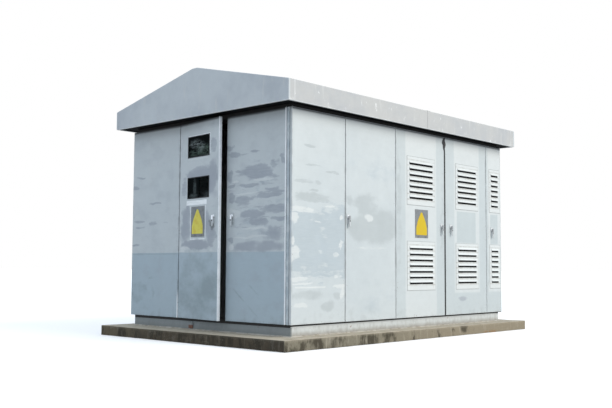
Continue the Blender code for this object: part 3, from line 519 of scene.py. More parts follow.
class KioskSizes(bpy.types.PropertyGroup):
    """Sizes of the modelled pieces."""

    fold_radius: length("Fold radius", "Radius of the folded edges of doors and panels", 0.0011)
    plate_sheet: length("Plate sheet", "Thickness of a louvre plate", 0.002)
    slot_margin: length("Slot margin", "Plain border of a louvre plate beside its slots", 0.041)
    slot_pitch: length("Slot pitch", "Distance from slot to slot", 0.060)
    slot_height: length("Slot height", "Height of one slot", 0.024)
    slot_count: bpy.props.IntProperty(name="Slots", description="Slots in one louvre plate", default=7,
                                      min=1)
    hood_depth: length("Hood depth", "How far a hood stands out from its plate", 0.014)
    hood_root: length("Hood root", "Height of a hood above its slot", 0.018)
    hood_drop: length("Hood drop", "How far a hood hangs below the top of its slot", 0.004)
    rivet_radius: length("Rivet radius", "Radius of the rivets on plates and signs", 0.0045)
    screw_radius: length("Screw radius", "Radius of the screw heads on fixed panels and the roof", 0.008)
    rose_radius: length("Rose radius", "Radius of the round rose under a handle", 0.020)
    lever_length: length("Lever length", "How far a handle's lever hangs below its shaft", 0.095)
    window_left: length("Window left", "Place of the windows from the meter door's hinge edge", 0.148)
    window_width: length("Window width", "Width of a meter window", 0.380)
    window_height: length("Window height", "Height of a meter window", 0.208)
    sign_width: length("Sign width", "Width of a blank sign plate", 0.235)
    sign_height: length("Sign height", "Height of a blank sign plate", 0.300)
    pad_grid: length("Pad grid", "Size of the cells that the rough pad is made of", 0.085)
    pad_wear: length("Pad wear", "How far the pad's surface is worn up and down", 0.006)
    mortar_reach: length("Mortar reach", "How far the mortar fillet reaches out from the base", 0.020)
    mortar_height: length("Mortar height", "How high the mortar fillet stands against the base", 0.010)
    roof_lip: length("Roof lip", "Width of the fold along the lower edge of the roof", 0.018)


class KioskColours(bpy.types.PropertyGroup):
    """Colours of the finishes."""

    wall: colour("Wall", "Light grey paint of the long sides", (0.524, 0.561, 0.566))
    wall_white: colour("White coat", "Newer white coat round the louvres", (0.589, 0.616, 0.612))
    # This white also paints highlights: the line along the right edges of the gable leaves and the lines
    # along the roof's lip and corners.
    fresh: colour("Fresh white", "White of the newest strokes and of bare edges", (0.880, 0.900, 0.900))
    wall_cool: colour("Cool coat", "Cool grey coat beside the louvres", (0.443, 0.493, 0.499))
    wall_blue: colour("Older coat", "Bluish older coat that shows in patches", (0.393, 0.447, 0.477))
    smudge: colour("Smudge", "Grey of the smudges on the long sides", (0.404, 0.440, 0.447))
    # This dark grey also paints shade: the band under the eaves and the line round each louvre plate.
    dirt: colour("Dirt", "Dark grey of dirt in joints and at edges", (0.131, 0.139, 0.135))
    gable_low: colour("Lower gable", "Blue-grey paint of the lower gable", (0.376, 0.455, 0.496))
    shade: colour("Shade", "Dark green-grey of the shaded patches on the lower gable", (0.245, 0.305, 0.322))
    scuff: colour("Scuff", "Lavender grey of worn and smeared paint", (0.331, 0.358, 0.393))
    roof: colour("Roof", "Warm grey paint of the roof", (0.445, 0.447, 0.437))
    plinth: colour("Plinth", "Grey paint of the base channel", (0.493, 0.516, 0.514))
    inside: colour("Inside", "Light grey paint of what is inside", (0.385, 0.397, 0.389))
    tank: colour("Tank", "Grey paint of the transformer", (0.231, 0.250, 0.254))
    concrete: colour("Concrete", "Pale top of the pad", (0.400, 0.355, 0.280))
    moss: colour("Moss", "Dark growth on the sides of the pad", (0.040, 0.034, 0.023))
    sign: colour("Sign panel", "Plain yellow of the blank sign on the long side", (0.550, 0.405, 0.018))
    sign_pale: colour("Pale sign panel", "Faded yellow of the blank gable sign", (0.690, 0.615, 0.105))


def sizes():
    return bpy.context.scene.kiosk_sizes


def colours():
    return bpy.context.scene.kiosk_colours


# Finishes


FINISHES = {}


def finish(name):
    """Material by name, made the first time that it is asked for."""
    if name not in FINISHES:
        FINISHES[name] = FINISH_MAKERS[name]()
    return FINISHES[name]


def zone(shader, flat, mark):
    """Soft bump over an ellipse of a leaf: middle, half sizes and strength in the leaf's own frame."""
    middle_x, middle_z, half_x, half_z, strength = mark
    scale = (1 / half_x, 1 / half_z, 0)
    shift = (-middle_x / half_x, -middle_z / half_z, 0)
    out = shader.node("ShaderNodeVectorMath", {"operation": "MULTIPLY_ADD"}, {0: flat, 1: scale, 2: shift})
    reach = shader.node("ShaderNodeVectorMath", {"operation": "LENGTH"}, {0: out}, "Value")
    return (1.45 - reach).rise(0.0, 1.0) * strength


def warped(shader, flat):
    """Leaf coordinates pushed about, more across than up, so that marks lose their plain outline."""
    for scale, along, upward in ((5.0, 0.22, 0.07), (22.0, 0.05, 0.018)):
        push = shader.node("ShaderNodeTexNoise", {},
                           {"Vector": shader.place, "Scale": scale, "Detail": 4.0}, "Color")
        push = shader.node("ShaderNodeVectorMath", {"operation": "SUBTRACT"}, {0: push, 1: (0.5, 0.5, 0.5)})
        flat = shader.node("ShaderNodeVectorMath", {"operation": "MULTIPLY_ADD"},
                           {0: push, 1: (along, upward, 0), 2: flat})
    return flat


def cover(shader, flat, marks, soft=0.0):
    """Largest of the bumps of several marks, which run into one another where soft is above 0."""
    total = zone(shader, flat, marks[0])
    for mark in marks[1:]:
        total = total.merge(zone(shader, flat, mark), soft)
    return total


def block_mask(across, up, wavy, box, soft=0.004):
    """Rectangle with slightly wavy edges: left, bottom, right and top in the leaf's own frame."""
    left, bottom, right, top = box
    side = (across - left).least(right - across)
    level = (up - bottom).least(top - up)
    return (side.least(level) + wavy).rise(-soft, soft)


# Marks of each leaf, one coat over the other: the coat's colour, how its edge looks, and its
# ellipses with their strength or, for a patch, its left, bottom, right and top
MARKS = {
    "front_door_left": (
        ("wall_blue", "patch", ((-0.1, 0.43, 0.46, 1.02),)),
        ("wall_blue", "patch", ((0.4, 0.43, 0.9, 1.09),)),
        ("smudge", "smooth", (
            (0.28, 1.15, 0.22, 0.055, 0.65), (0.21, 0.26, 0.26, 0.05, 0.9),
            (0.5, 0.15, 0.11, 0.055, 0.85), (0.63, 0.24, 0.07, 0.05, 0.8),
        )),
        ("smudge", "frayed", (
            (0.24, 1.62, 0.1, 0.016, 0.85), (0.27, 1.445, 0.11, 0.012, 0.8),
            (0.53, 1.405, 0.1, 0.012, 0.85), (0.62, 1.393, 0.04, 0.014, 0.75),
            (0.2, 1.29, 0.14, 0.022, 0.6), (0.36, 1.29, 0.04, 0.02, 0.6), (0.3, 1.215, 0.08, 0.014, 0.95),
            (0.27, 1.15, 0.24, 0.05, 0.75),
        )),
        ("wall_white", "frayed", (
            (0.1, 1.045, 0.1, 0.022, 0.9), (0.24, 1.04, 0.09, 0.016, 0.9),
            (0.14, 1.022, 0.18, 0.008, 0.9), (0.5, 1.075, 0.07, 0.01, 0.8),
            (0.02, 0.95, 0.045, 0.05, 0.9), (0.02, 0.75, 0.03, 0.04, 0.9), (0.05, 0.65, 0.06, 0.06, 0.95),
            (0.01, 0.6, 0.02, 0.05, 0.9), (0.7, 0.985, 0.024, 0.03, 0.95),
            (0.685, 0.73, 0.016, 0.05, 0.9), (0.62, 0.63, 0.045, 0.03, 0.6),
            (0.08, 0.415, 0.13, 0.02, 1.0), (0.14, 0.37, 0.15, 0.009, 0.95),
            (0.66, 0.335, 0.09, 0.016, 0.95), (0.7, 0.28, 0.03, 0.06, 0.95),
            (0.11, 0.175, 0.09, 0.022, 0.85), (0.62, 0.42, 0.035, 0.014, 0.7),
            (0.35, 0.93, 0.05, 0.01, 0.6),
        )),
    ),
    "front_door_right": (
        ("smudge", "smooth", (
            (0.31, 1.12, 0.22, 0.13, 1.0), (0.48, 0.92, 0.38, 0.18, 1.0), (0.62, 0.9, 0.22, 0.18, 1.0),
            (0.24, 0.9, 0.24, 0.14, 1.0), (0.06, 1.16, 0.05, 0.06, 0.7), (0.77, 0.92, 0.03, 0.18, 0.7),
        )),
        ("wall_blue", "smooth", ((0.42, 0.22, 0.46, 0.22, 0.4), (0.42, 1.5, 0.5, 0.16, 0.4))),
        ("wall_white", "smooth", ((0.37, 0.995, 0.085, 0.035, 1.0), (0.4, 0.705, 0.36, 0.014, 0.6))),
    ),
    "front_vent_door_left": (
        ("smudge", "smooth", ((0.05, 1.0, 0.05, 0.9, 0.6), (0.84, 0.9, 0.04, 0.6, 0.6))),
    ),
    "front_vent_door_right": (
        ("smudge", "smooth", ((0.05, 0.8, 0.04, 0.6, 0.4),)),
        ("scuff", "smooth", ((0.35, 0.175, 0.1, 0.032, 0.8),)),
    ),
    "front_vent_door_narrow": (
        ("smudge", "smooth", ((0.04, 0.6, 0.03, 0.6, 0.5),)),
    ),
    "gable_fixed_panel": (
        ("scuff", "frayed", (
            (0.05, 1.35, 0.08, 0.022, 0.75), (0.14, 1.455, 0.07, 0.01, 0.7),
            (0.11, 0.985, 0.1, 0.016, 0.95), (0.12, 0.925, 0.09, 0.01, 0.85),
            (0.06, 0.735, 0.09, 0.012, 0.85), (0.4, 1.175, 0.09, 0.012, 0.75),
            (0.36, 0.96, 0.05, 0.02, 0.6), (0.56, 0.96, 0.08, 0.008, 0.6),
        )),
        ("shade", "smooth", (
            (0.12, 0.24, 0.18, 0.13, 0.55), (0.36, 0.4, 0.06, 0.022, 0.6),
            (0.37, 0.24, 0.035, 0.09, 0.55),
        )),
    ),
    "meter_door": (
        ("scuff", "strokes", ((0.35, 1.05, 0.4, 0.38, 0.6),)),
        ("scuff", "smooth", (
            (0.13, 0.94, 0.09, 0.18, 0.85), (0.57, 0.87, 0.1, 0.18, 0.75), (0.33, 0.725, 0.28, 0.05, 0.9),
            (0.6, 1.36, 0.09, 0.2, 0.85), (0.34, 1.425, 0.22, 0.055, 1.0), (0.5, 1.45, 0.14, 0.06, 0.9),
        )),
        ("scuff", "frayed", (
            (0.33, 1.44, 0.2, 0.06, 1.0), (0.46, 1.43, 0.14, 0.045, 1.0), (0.58, 1.36, 0.08, 0.16, 0.95),
            (0.6, 1.7, 0.055, 0.09, 0.7), (0.09, 1.3, 0.06, 0.11, 0.65), (0.13, 0.95, 0.085, 0.17, 1.0),
            (0.52, 0.93, 0.06, 0.12, 0.95), (0.6, 0.8, 0.07, 0.11, 1.0), (0.33, 0.725, 0.26, 0.045, 1.0),
        )),
        ("dirt", "frayed", ((0.6, 0.93, 0.055, 0.055, 0.7),)),
        ("shade", "smooth", ((0.36, 0.33, 0.5, 0.42, 0.62), (0.5, 0.31, 0.24, 0.2, 0.7))),
        ("wall_white", "frayed", (
            (0.09, 0.69, 0.1, 0.022, 0.8), (0.05, 0.665, 0.06, 0.014, 0.9), (0.04, 0.74, 0.03, 0.05, 0.6),
            (0.58, 0.69, 0.05, 0.03, 0.5),
        )),
    ),
    "service_door": (
        ("scuff", "strokes", ((0.4, 1.15, 0.5, 0.42, 0.85),)),
        ("wall_blue", "frayed", ((0.42, 1.02, 0.46, 0.46, 0.22),)),
        ("scuff", "smooth", ((0.44, 0.702, 0.38, 0.058, 1.0), (0.62, 0.8, 0.2, 0.05, 0.6))),
        ("scuff", "frayed", (
            (0.42, 1.405, 0.2, 0.066, 1.0), (0.5, 1.365, 0.14, 0.026, 1.0),
            (0.11, 1.575, 0.09, 0.028, 0.85), (0.05, 1.64, 0.06, 0.032, 0.8),
            (0.22, 1.575, 0.09, 0.01, 0.7), (0.4, 1.59, 0.07, 0.012, 0.65), (0.76, 1.5, 0.03, 0.05, 0.9),
            (0.66, 1.46, 0.06, 0.05, 0.6), (0.17, 1.41, 0.06, 0.016, 0.8), (0.03, 1.37, 0.05, 0.06, 0.95),
            (0.32, 1.28, 0.12, 0.02, 1.0), (0.06, 1.27, 0.06, 0.018, 0.9),
            (0.57, 1.172, 0.19, 0.024, 1.0), (0.7, 1.195, 0.1, 0.016, 1.0),
            (0.62, 1.225, 0.09, 0.02, 0.75), (0.08, 1.16, 0.05, 0.06, 0.95),
            (0.24, 1.13, 0.12, 0.055, 0.72), (0.63, 1.04, 0.17, 0.038, 1.0),
            (0.34, 1.0, 0.18, 0.034, 1.0), (0.46, 0.925, 0.11, 0.036, 1.0),
            (0.7, 0.95, 0.09, 0.022, 0.75), (0.66, 0.85, 0.13, 0.05, 0.6), (0.05, 0.77, 0.05, 0.032, 0.9),
        )),
        ("wall_white", "frayed", (
            (0.1, 1.02, 0.07, 0.05, 0.75), (0.04, 0.7, 0.05, 0.03, 0.95), (0.4, 0.862, 0.15, 0.012, 0.85),
            (0.33, 0.79, 0.22, 0.012, 0.65), (0.5, 1.325, 0.17, 0.014, 0.75),
            (0.13, 1.31, 0.06, 0.012, 0.85), (0.27, 1.2, 0.13, 0.01, 0.85),
        )),
    ),
}


# Strokes with straight edges: the coat's colour, its strength and its left, bottom, right and top
BRUSHED_BLOCKS = {
    "front_door_left": (("wall_white", 1.0, (0.05, 0.322, 0.46, 0.336)),),
    "gable_fixed_panel": (("shade", 0.40, (-0.01, 0.634, 0.80, 0.648)),),
    "meter_door": (
        ("fresh", 1.0, (0.130, 1.122, 0.490, 1.166)), ("fresh", 0.7, (0.203, 0.785, 0.212, 1.110)),
        ("fresh", 0.8, (0.468, 0.785, 0.477, 1.110)), ("fresh", 0.9, (0.200, 0.780, 0.460, 0.788)),
        ("fresh", 0.8, (0.145, 1.810, 0.535, 1.819)), ("fresh", 0.9, (0.532, 1.610, 0.542, 1.815)),
        ("wall_white", 0.8, (0.150, 1.574, 0.500, 1.588)),
    ),
}


# Thin scratches: where each starts and ends on its leaf
SCRATCHES = {
    "service_door": ((0.08, 0.32, 0.46, 0.04), (0.30, 0.36, 0.47, 0.24)),
}


def leaf_paint(leaf):
    """Weathered paint of one leaf, with its coats, smears and dirt, painted shade under the eaves and
    painted highlights along its edges.
    """
    pick = colours()
    shader = Shader("paint_" + leaf.name)
    across, depth, up = leaf.axes(shader)
    flat = warped(shader, shader.node("ShaderNodeCombineXYZ", {}, {0: across, 1: up}))
    cloud = shader.noise(1.3, 3.0)
    haze = shader.noise(9.0, 4.0, 0.6)
    clouds = shader.noise(4.5, 4.0, 0.6, (1.0, 1.0, 1.6))
    grain = shader.noise(160.0, 2.0)
    fray = shader.noise(7.0, 5.0, 0.62, (1.0, 1.0, 3.4), 0.3)
    strokes = shader.noise(4.6, 5.0, 0.62, (1.0, 1.0, 4.2), 0.5)
    brushed = shader.noise(30.0, 3.0, 0.6, (0.25, 0.25, 3.0))
    wavy = (shader.noise(11.0, 3.0) - 0.5) * 0.012
    paint = shader.mix(cloud.rise(0.35, 0.75) * 0.22, pick.wall, pick.wall_blue)
    if leaf.name + "_louvre_lower" in frame["nodes"]:
        paint = vent_coats(shader, leaf, across, up, wavy, paint)
    if leaf.wall == "front":
        paint = shader.mix((1.0 - up.rise(0.6, 1.7)) * 0.17, paint, pick.wall_blue)
    if leaf.wall == "gable":
        lower = (GABLE_LINE - up + wavy * 0.5).rise(-0.003, 0.003)
        lower_paint = shader.mix(cloud.rise(0.3, 0.8) * 0.3, pick.gable_low, pick.wall_blue)
        lower_paint = shader.mix(clouds.rise(0.50, 0.68) * 0.30, lower_paint, pick.scuff)
        paint = shader.mix(clouds.rise(0.48, 0.66) * 0.18, paint, pick.scuff)
        paint = shader.mix(lower, paint, lower_paint)
    for coat, kind, marks in MARKS.get(leaf.name, ()):
        mask = mark_mask(shader, kind, flat, marks, (fray, clouds, brushed, strokes))
        paint = shader.mix(mask, paint, getattr(pick, coat))
    for coat, strength, box in BRUSHED_BLOCKS.get(leaf.name, ()):
        block = block_mask(across, up, wavy, box) * (0.55 + brushed.rise(0.2, 0.6) * 0.45) * strength
        paint = shader.mix(block, paint, getattr(pick, coat))
    for start_x, start_z, end_x, end_z in SCRATCHES.get(leaf.name, ()):
        reach = math.hypot(end_x - start_x, end_z - start_z)
        run_x, run_z = (end_x - start_x) / reach, (end_z - start_z) / reach
        off = abs((across - start_x) * run_z - (up - start_z) * run_x + wavy * 2.0)
        along = (across - start_x) * run_x + (up - start_z) * run_z
        scratch = (1.0 - off.rise(0.003, 0.012)) * along.least(reach - along).rise(0.0, 0.08)
        paint = shader.mix(scratch * clouds.rise(0.35, 0.60) * 0.55, paint, pick.shade)
    edge = across.least(leaf.width - across).least(up).least(LEAF_HEIGHT - up)
    grime = (1.0 - edge.rise(0.004, 0.020)) * haze.rise(0.40, 0.70) * 0.4
    foot = (1.0 - up.rise(0.0, 0.22)) * haze.rise(0.45, 0.75) * 0.25
    # Painted shadow and shade under the eaves: the top 25 mm of every leaf goes near black, and a soft
    # darker band below it is mixed into the dirt colour together with real grime at the edges and dirt at
    # the foot.
    head = up.rise(LEAF_HEIGHT - 0.030, LEAF_HEIGHT - 0.005) * 0.92
    eave_shade = (up + (haze - 0.5) * 0.03).rise(LEAF_HEIGHT - 0.14, LEAF_HEIGHT - 0.02) * 0.22
    paint = shader.mix(grime.most(foot).most(eave_shade), paint, pick.dirt)
    paint = shader.mix(head, paint, (0.020, 0.020, 0.020))
    # Lighter edges: partly worn paint, partly a painted highlight; on the gable the white line along each
    # leaf's right edge is a painted highlight of the fold that faces the light.
    edge_wear_and_highlight = (1.0 - (edge + (haze - 0.5) * 0.006).rise(0.002, 0.006)) * 0.45
    if leaf.wall == "gable":
        right = leaf.width - across
        edge_wear_and_highlight = (1.0 - (right + wavy * 0.4).rise(0.012, 0.017)) * (0.75 + haze.rise(0.3, 0.7) * 0.25)
        if leaf.fixed:
            edge_wear_and_highlight = edge_wear_and_highlight * (0.30 - up).rise(0.0, 0.15)
    paint = shader.mix(edge_wear_and_highlight, paint, pick.fresh if leaf.wall == "gable" else pick.wall_white)
    chips = (shader.spots(38.0) + (haze - 0.5) * 0.5).rise(0.10, 0.06) * (1.0 - edge.rise(0.01, 0.05))
    paint = shader.mix(chips * 0.8, paint, (0.123, 0.069, 0.046))
    back = depth.rise(0.0010, 0.0016) * edge.rise(0.0010, 0.0018)
    paint = shader.mix(back, paint, shader.mix(haze.rise(0.4, 0.7) * 0.3, pick.inside, pick.smudge))
    tone = 0.91 + haze * 0.12 + (grain - 0.5) * 0.05 + (brushed - 0.5) * 0.04 + (fray - 0.5) * 0.06
    shader.bump(grain + brushed * 0.6 + haze * 0.8, 0.0006, 0.35)
    return shader.end(shader.shade(paint, tone), 0.36 + haze * 0.16 + chips * 0.3, specular_ior_level=0.4)


def mark_mask(shader, kind, flat, marks, noises):
    """Cover of one coat's marks, by the kind of edge that they have."""
    fray, clouds, brushed, strokes = noises
    if kind == "patch":
        across, up = (shader.node("ShaderNodeSeparateXYZ", {}, {0: flat}, axis) for axis in "XY")
        left, bottom, right, top = marks[0]
        inside = (across - left).least(right - across).least(up - bottom).least(top - up)
        return (inside + (fray - 0.5) * 0.55).rise(-0.03, 0.05) * (0.70 + brushed.rise(0.3, 0.7) * 0.30)
    if kind == "smooth":
        return (cover(shader, flat, marks, 0.35) + (clouds - 0.5) * 1.3).rise(0.26, 0.95) * 0.85
    total = cover(shader, flat, marks)
    if kind == "strokes":
        return (strokes + total * 0.30).rise(0.74, 0.92) * 0.8
    near = total.rise(0.0, 0.20)
    halo = (total + (clouds - 0.5) * 1.2 * near).rise(0.15, 0.95)
    core = (fray + clouds * 0.25 + total * 0.50 - 0.74).rise(0.0, 0.17) * near
    return halo * 0.28 + core * (0.42 + brushed.rise(0.3, 0.7) * 0.28)


def vent_coats(shader, leaf, across, up, wavy, paint):
    """White coat in a column round the louvre plates, and a dark line round each plate that is painted shade
    of the gap at its edge.
    """
    pick = colours()
    inverse = WALLS[leaf.wall].inverted()
    paint = shader.mix(0.42, paint, pick.wall_cool)
    wide = leaf.name in ("front_vent_door_left", "rear_vent_door_right")
    for part in ("_louvre_lower", "_louvre_upper"):
        corners = [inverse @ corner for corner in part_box(leaf.name + part)]
        left, right = sorted(corner.x - leaf.start for corner in corners)
        bottom, top = (corner.z - LEAF_BOTTOM for corner in corners)
        if part == "_louvre_lower":
            column = (left - 0.03, -0.05 if wide else bottom - 0.04, right + 0.03, LEAF_HEIGHT + 0.05)
            paint = shader.mix(block_mask(across, up, wavy, column, 0.014) * 0.85, paint, pick.wall_white)
            field = (left + 0.02, top + 0.012, right - 0.05, top + 0.36)
        # Dark line round each plate: painted shade of the gap at its edge.
        rim = (left - PLATE_JOINT, bottom - PLATE_JOINT, right + PLATE_JOINT, top + PLATE_JOINT)
        joint = block_mask(across, up, wavy * 0.15, rim)
        paint = shader.mix(joint * 0.55, paint, pick.dirt)
    if not wide:
        paint = shader.mix(block_mask(across, up, wavy * 0.4, field) * 0.85, paint, pick.wall_cool)
    return paint


def coated(name, base, stain, rough=0.42, stain_amount=0.5, streak=(1.0, 1.0, 0.12)):
    """Painted steel with grain, haze and rain streaks."""
    shader = Shader(name)
    haze = shader.noise(6.0, 4.0, 0.6)
    grain = shader.noise(170.0, 2.0)
    streaks = shader.noise(26.0, 4.0, 0.6, streak)
    dirt = streaks.rise(0.50, 0.78) * haze.rise(0.35, 0.65) * stain_amount
    paint = shader.mix(dirt, base, stain)
    shader.bump(grain + haze, 0.0006, 0.35)
    return shader.end(shader.shade(paint, 0.90 + haze * 0.14 + (grain - 0.5) * 0.05), rough + haze * 0.14,
                      specular_ior_level=0.4)


def plate_paint(part):
    """White coat of the louvre plates of one row, with warm dirt and painted hood shade under each slot."""
    size = sizes()
    low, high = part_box("front_vent_door_left" + part)
    first = (low.z + high.z - (size.slot_count - 1) * size.slot_pitch - size.slot_height) / 2
    shader = Shader("plate_paint" + part)
    haze = shader.noise(7.0, 4.0, 0.6)
    grain = shader.noise(170.0, 2.0)
    streaks = shader.noise(30.0, 4.0, 0.6, (1.0, 1.0, 0.10))
    # Warm grey just below each slot: painted shade of its hood, broken up by streaks as dirt.
    under = shader.math("FRACT", (first + 40 * size.slot_pitch - shader.z) / size.slot_pitch, 0.0)
    soot_and_hood_shade = (1.0 - under.rise(0.0, 0.42)) * (0.30 + streaks.rise(0.40, 0.70) * 0.45) * haze.rise(0.25, 0.60)
    paint = shader.mix(soot_and_hood_shade, colours().wall_white, (0.300, 0.280, 0.245))
    rust = streaks.rise(0.62, 0.72) * haze.rise(0.52, 0.66)
    paint = shader.mix(rust * 0.35, paint, (0.290, 0.190, 0.120))
    shader.bump(grain + haze, 0.0006, 0.35)
    return shader.end(shader.shade(paint, 0.93 + haze * 0.12 + (grain - 0.5) * 0.05), 0.40 + haze * 0.14,
                      specular_ior_level=0.35)


def make_roof_paint():
    """Warm grey roof paint with blotches and pale runs, a painted shade tint on the gable fascias and
    painted highlights along the lip and corners.
    """
    pick = colours()
    shader = Shader("roof_paint")
    cloud = shader.noise(2.2, 4.0, 0.6)
    haze = shader.noise(11.0, 4.0, 0.65)
    grain = shader.noise(150.0, 2.0)
    runs = shader.noise(20.0, 4.0, 0.6, (1.0, 1.0, 0.15))
    # Lighter, bluer paint on the gable fascias: a painted tint of the shade that they stand in.
    gable = (abs(shader.x) - ROOF_HIGH.x + 0.02).rise(0.0, 0.004)
    paint = shader.mix(gable, pick.roof, (0.504, 0.535, 0.547))
    paint = shader.mix(cloud.rise(0.40, 0.70) * 0.45, paint, pick.scuff)
    paint = shader.mix(runs.rise(0.58, 0.74) * 0.45, paint, (0.570, 0.570, 0.547))
    # Bright line along the lower lip: painted highlight.
    lip = (ROOF_LOW.z + 0.007 - shader.z + (haze - 0.5) * 0.006).rise(0.0, 0.003)
    paint = shader.mix(lip * 0.7, paint, pick.fresh)
    drips = shader.noise(40.0, 3.0, 0.5, (1.0, 1.0, 0.45)).rise(0.60, 0.72) * haze.rise(0.50, 0.64)
    paint = shader.mix(drips * (1.0 - gable) * 0.55, paint, pick.fresh)
    # Bright lines along the corner edges of the long fascias, broken by the runs: painted highlights.
    inward = ROOF_HIGH.x - abs(shader.x)
    lines = (1.0 - inward.rise(0.003, 0.010)).most(1.0 - abs(inward - ROOF_ANGLE_EDGE).rise(0.002, 0.007))
    fascia = (ROOF_LOW.z + ROOF_FASCIA - shader.z).rise(0.0, 0.004) * (1.0 - gable)
    paint = shader.mix(lines * fascia * runs.rise(0.30, 0.60) * 0.55, paint, pick.fresh)
    specks = shader.spots(70.0).rise(0.16, 0.08) * haze.rise(0.5, 0.7)
    paint = shader.mix(specks * 0.4, paint, (0.185, 0.177, 0.162))
    shader.bump(grain + haze * 1.5, 0.0008, 0.4)
    return shader.end(shader.shade(paint, 0.92 + haze * 0.14 + (grain - 0.5) * 0.06), 0.46 + haze * 0.16,
                      specular_ior_level=0.4)


def make_plinth_paint():
    """Base channel: grey paint, dirt from the ground up, rust where it is chipped, and painted shade on the
    gable end under the leaves.
    """
    shader = Shader("plinth_paint")
    haze = shader.noise(14.0, 4.0, 0.65)
    grain = shader.noise(150.0, 2.0)
    runs = shader.noise(26.0, 3.0, 0.6, (1.0, 1.0, 0.3))
    low = 1.0 - (shader.z + (haze - 0.5) * 0.05).rise(BASE_LOW.z, BASE_LOW.z + 0.06)
    paint = shader.mix(runs.rise(0.45, 0.75) * 0.4, colours().plinth, (0.262, 0.269, 0.262))
    paint = shader.mix(low * 0.7, paint, (0.208, 0.185, 0.146))
    # Darker gable end: painted shade under the overhanging leaves.
    gable = (-BASE_HIGH.x + 0.02 - shader.x).rise(0.0, 0.01)
    paint = shader.mix(gable * 0.80, paint, (0.172, 0.190, 0.190))
    rust = haze.rise(0.66, 0.74)
    lug = ((0.05 - abs(shader.y - EARTH_TERMINAL_Y)).rise(0.0, 0.02)
           * (EARTH_TERMINAL_X - shader.x).rise(0.0, 0.004)
           * (BASE_LOW.z + 0.046 - shader.z).rise(0.0, 0.006))
    paint = shader.mix((rust * 0.7).most(lug * 0.9), paint, (0.154, 0.054, 0.027))
    shader.bump(grain + haze * 2.0, 0.0008, 0.4)
    return shader.end(shader.shade(paint, 0.90 + haze * 0.16), 0.5 + haze * 0.2, specular_ior_level=0.35)


def make_frame_paint():
    """Near-black frame behind the doors, a painted shade for the gaps round the leaves and under the soffit,
    with wall paint on the strips beside the corners.
    """
    pick = colours()
    shader = Shader("frame_paint")
    haze = shader.noise(14.0, 4.0, 0.6)
    grain = shader.noise(150.0, 2.0)
    # Near-black steel: painted shade of the gaps round the leaves and under the soffit, where the frame
    # shows through.
    steel = shader.mix(haze, (0.012, 0.012, 0.011), (0.040, 0.035, 0.032))
    up = shader.z - LEAF_BOTTOM
    corner = ((abs(shader.x) - HALF_LENGTH + CORNER_STRIP).rise(0.0, 0.001)
              * (abs(shader.y) - HALF_WIDTH + CORNER_STRIP).rise(0.0, 0.001)
              * up.rise(-0.002, 0.0) * (LEAF_HEIGHT - up).rise(-0.002, 0.0))
    foot = (abs(shader.y) - BASE_HIGH.y + 0.004).rise(0.0, 0.002) * (-0.016 - up).rise(0.0, 0.003)
    steel = shader.mix(foot, steel, pick.plinth)
    coat = shader.mix(haze.rise(0.35, 0.65), pick.wall_blue, pick.wall)
    shader.bump(grain + haze, 0.0006, 0.35)
    return shader.end(shader.shade(shader.mix(corner, steel, coat), 0.88 + haze * 0.2), 0.48 + haze * 0.16,
                      specular_ior_level=0.35)


# Near-black underside of the eaves: painted shade.
def make_painted_soffit_shade():
    shader = Shader("soffit_paint")
    haze = shader.noise(12.0, 4.0)
    shader.bump(haze, 0.001, 0.3)
    return shader.end(shader.mix(haze, (0.002, 0.002, 0.003), (0.009, 0.009, 0.009)), 0.8,
                      specular_ior_level=0.15)


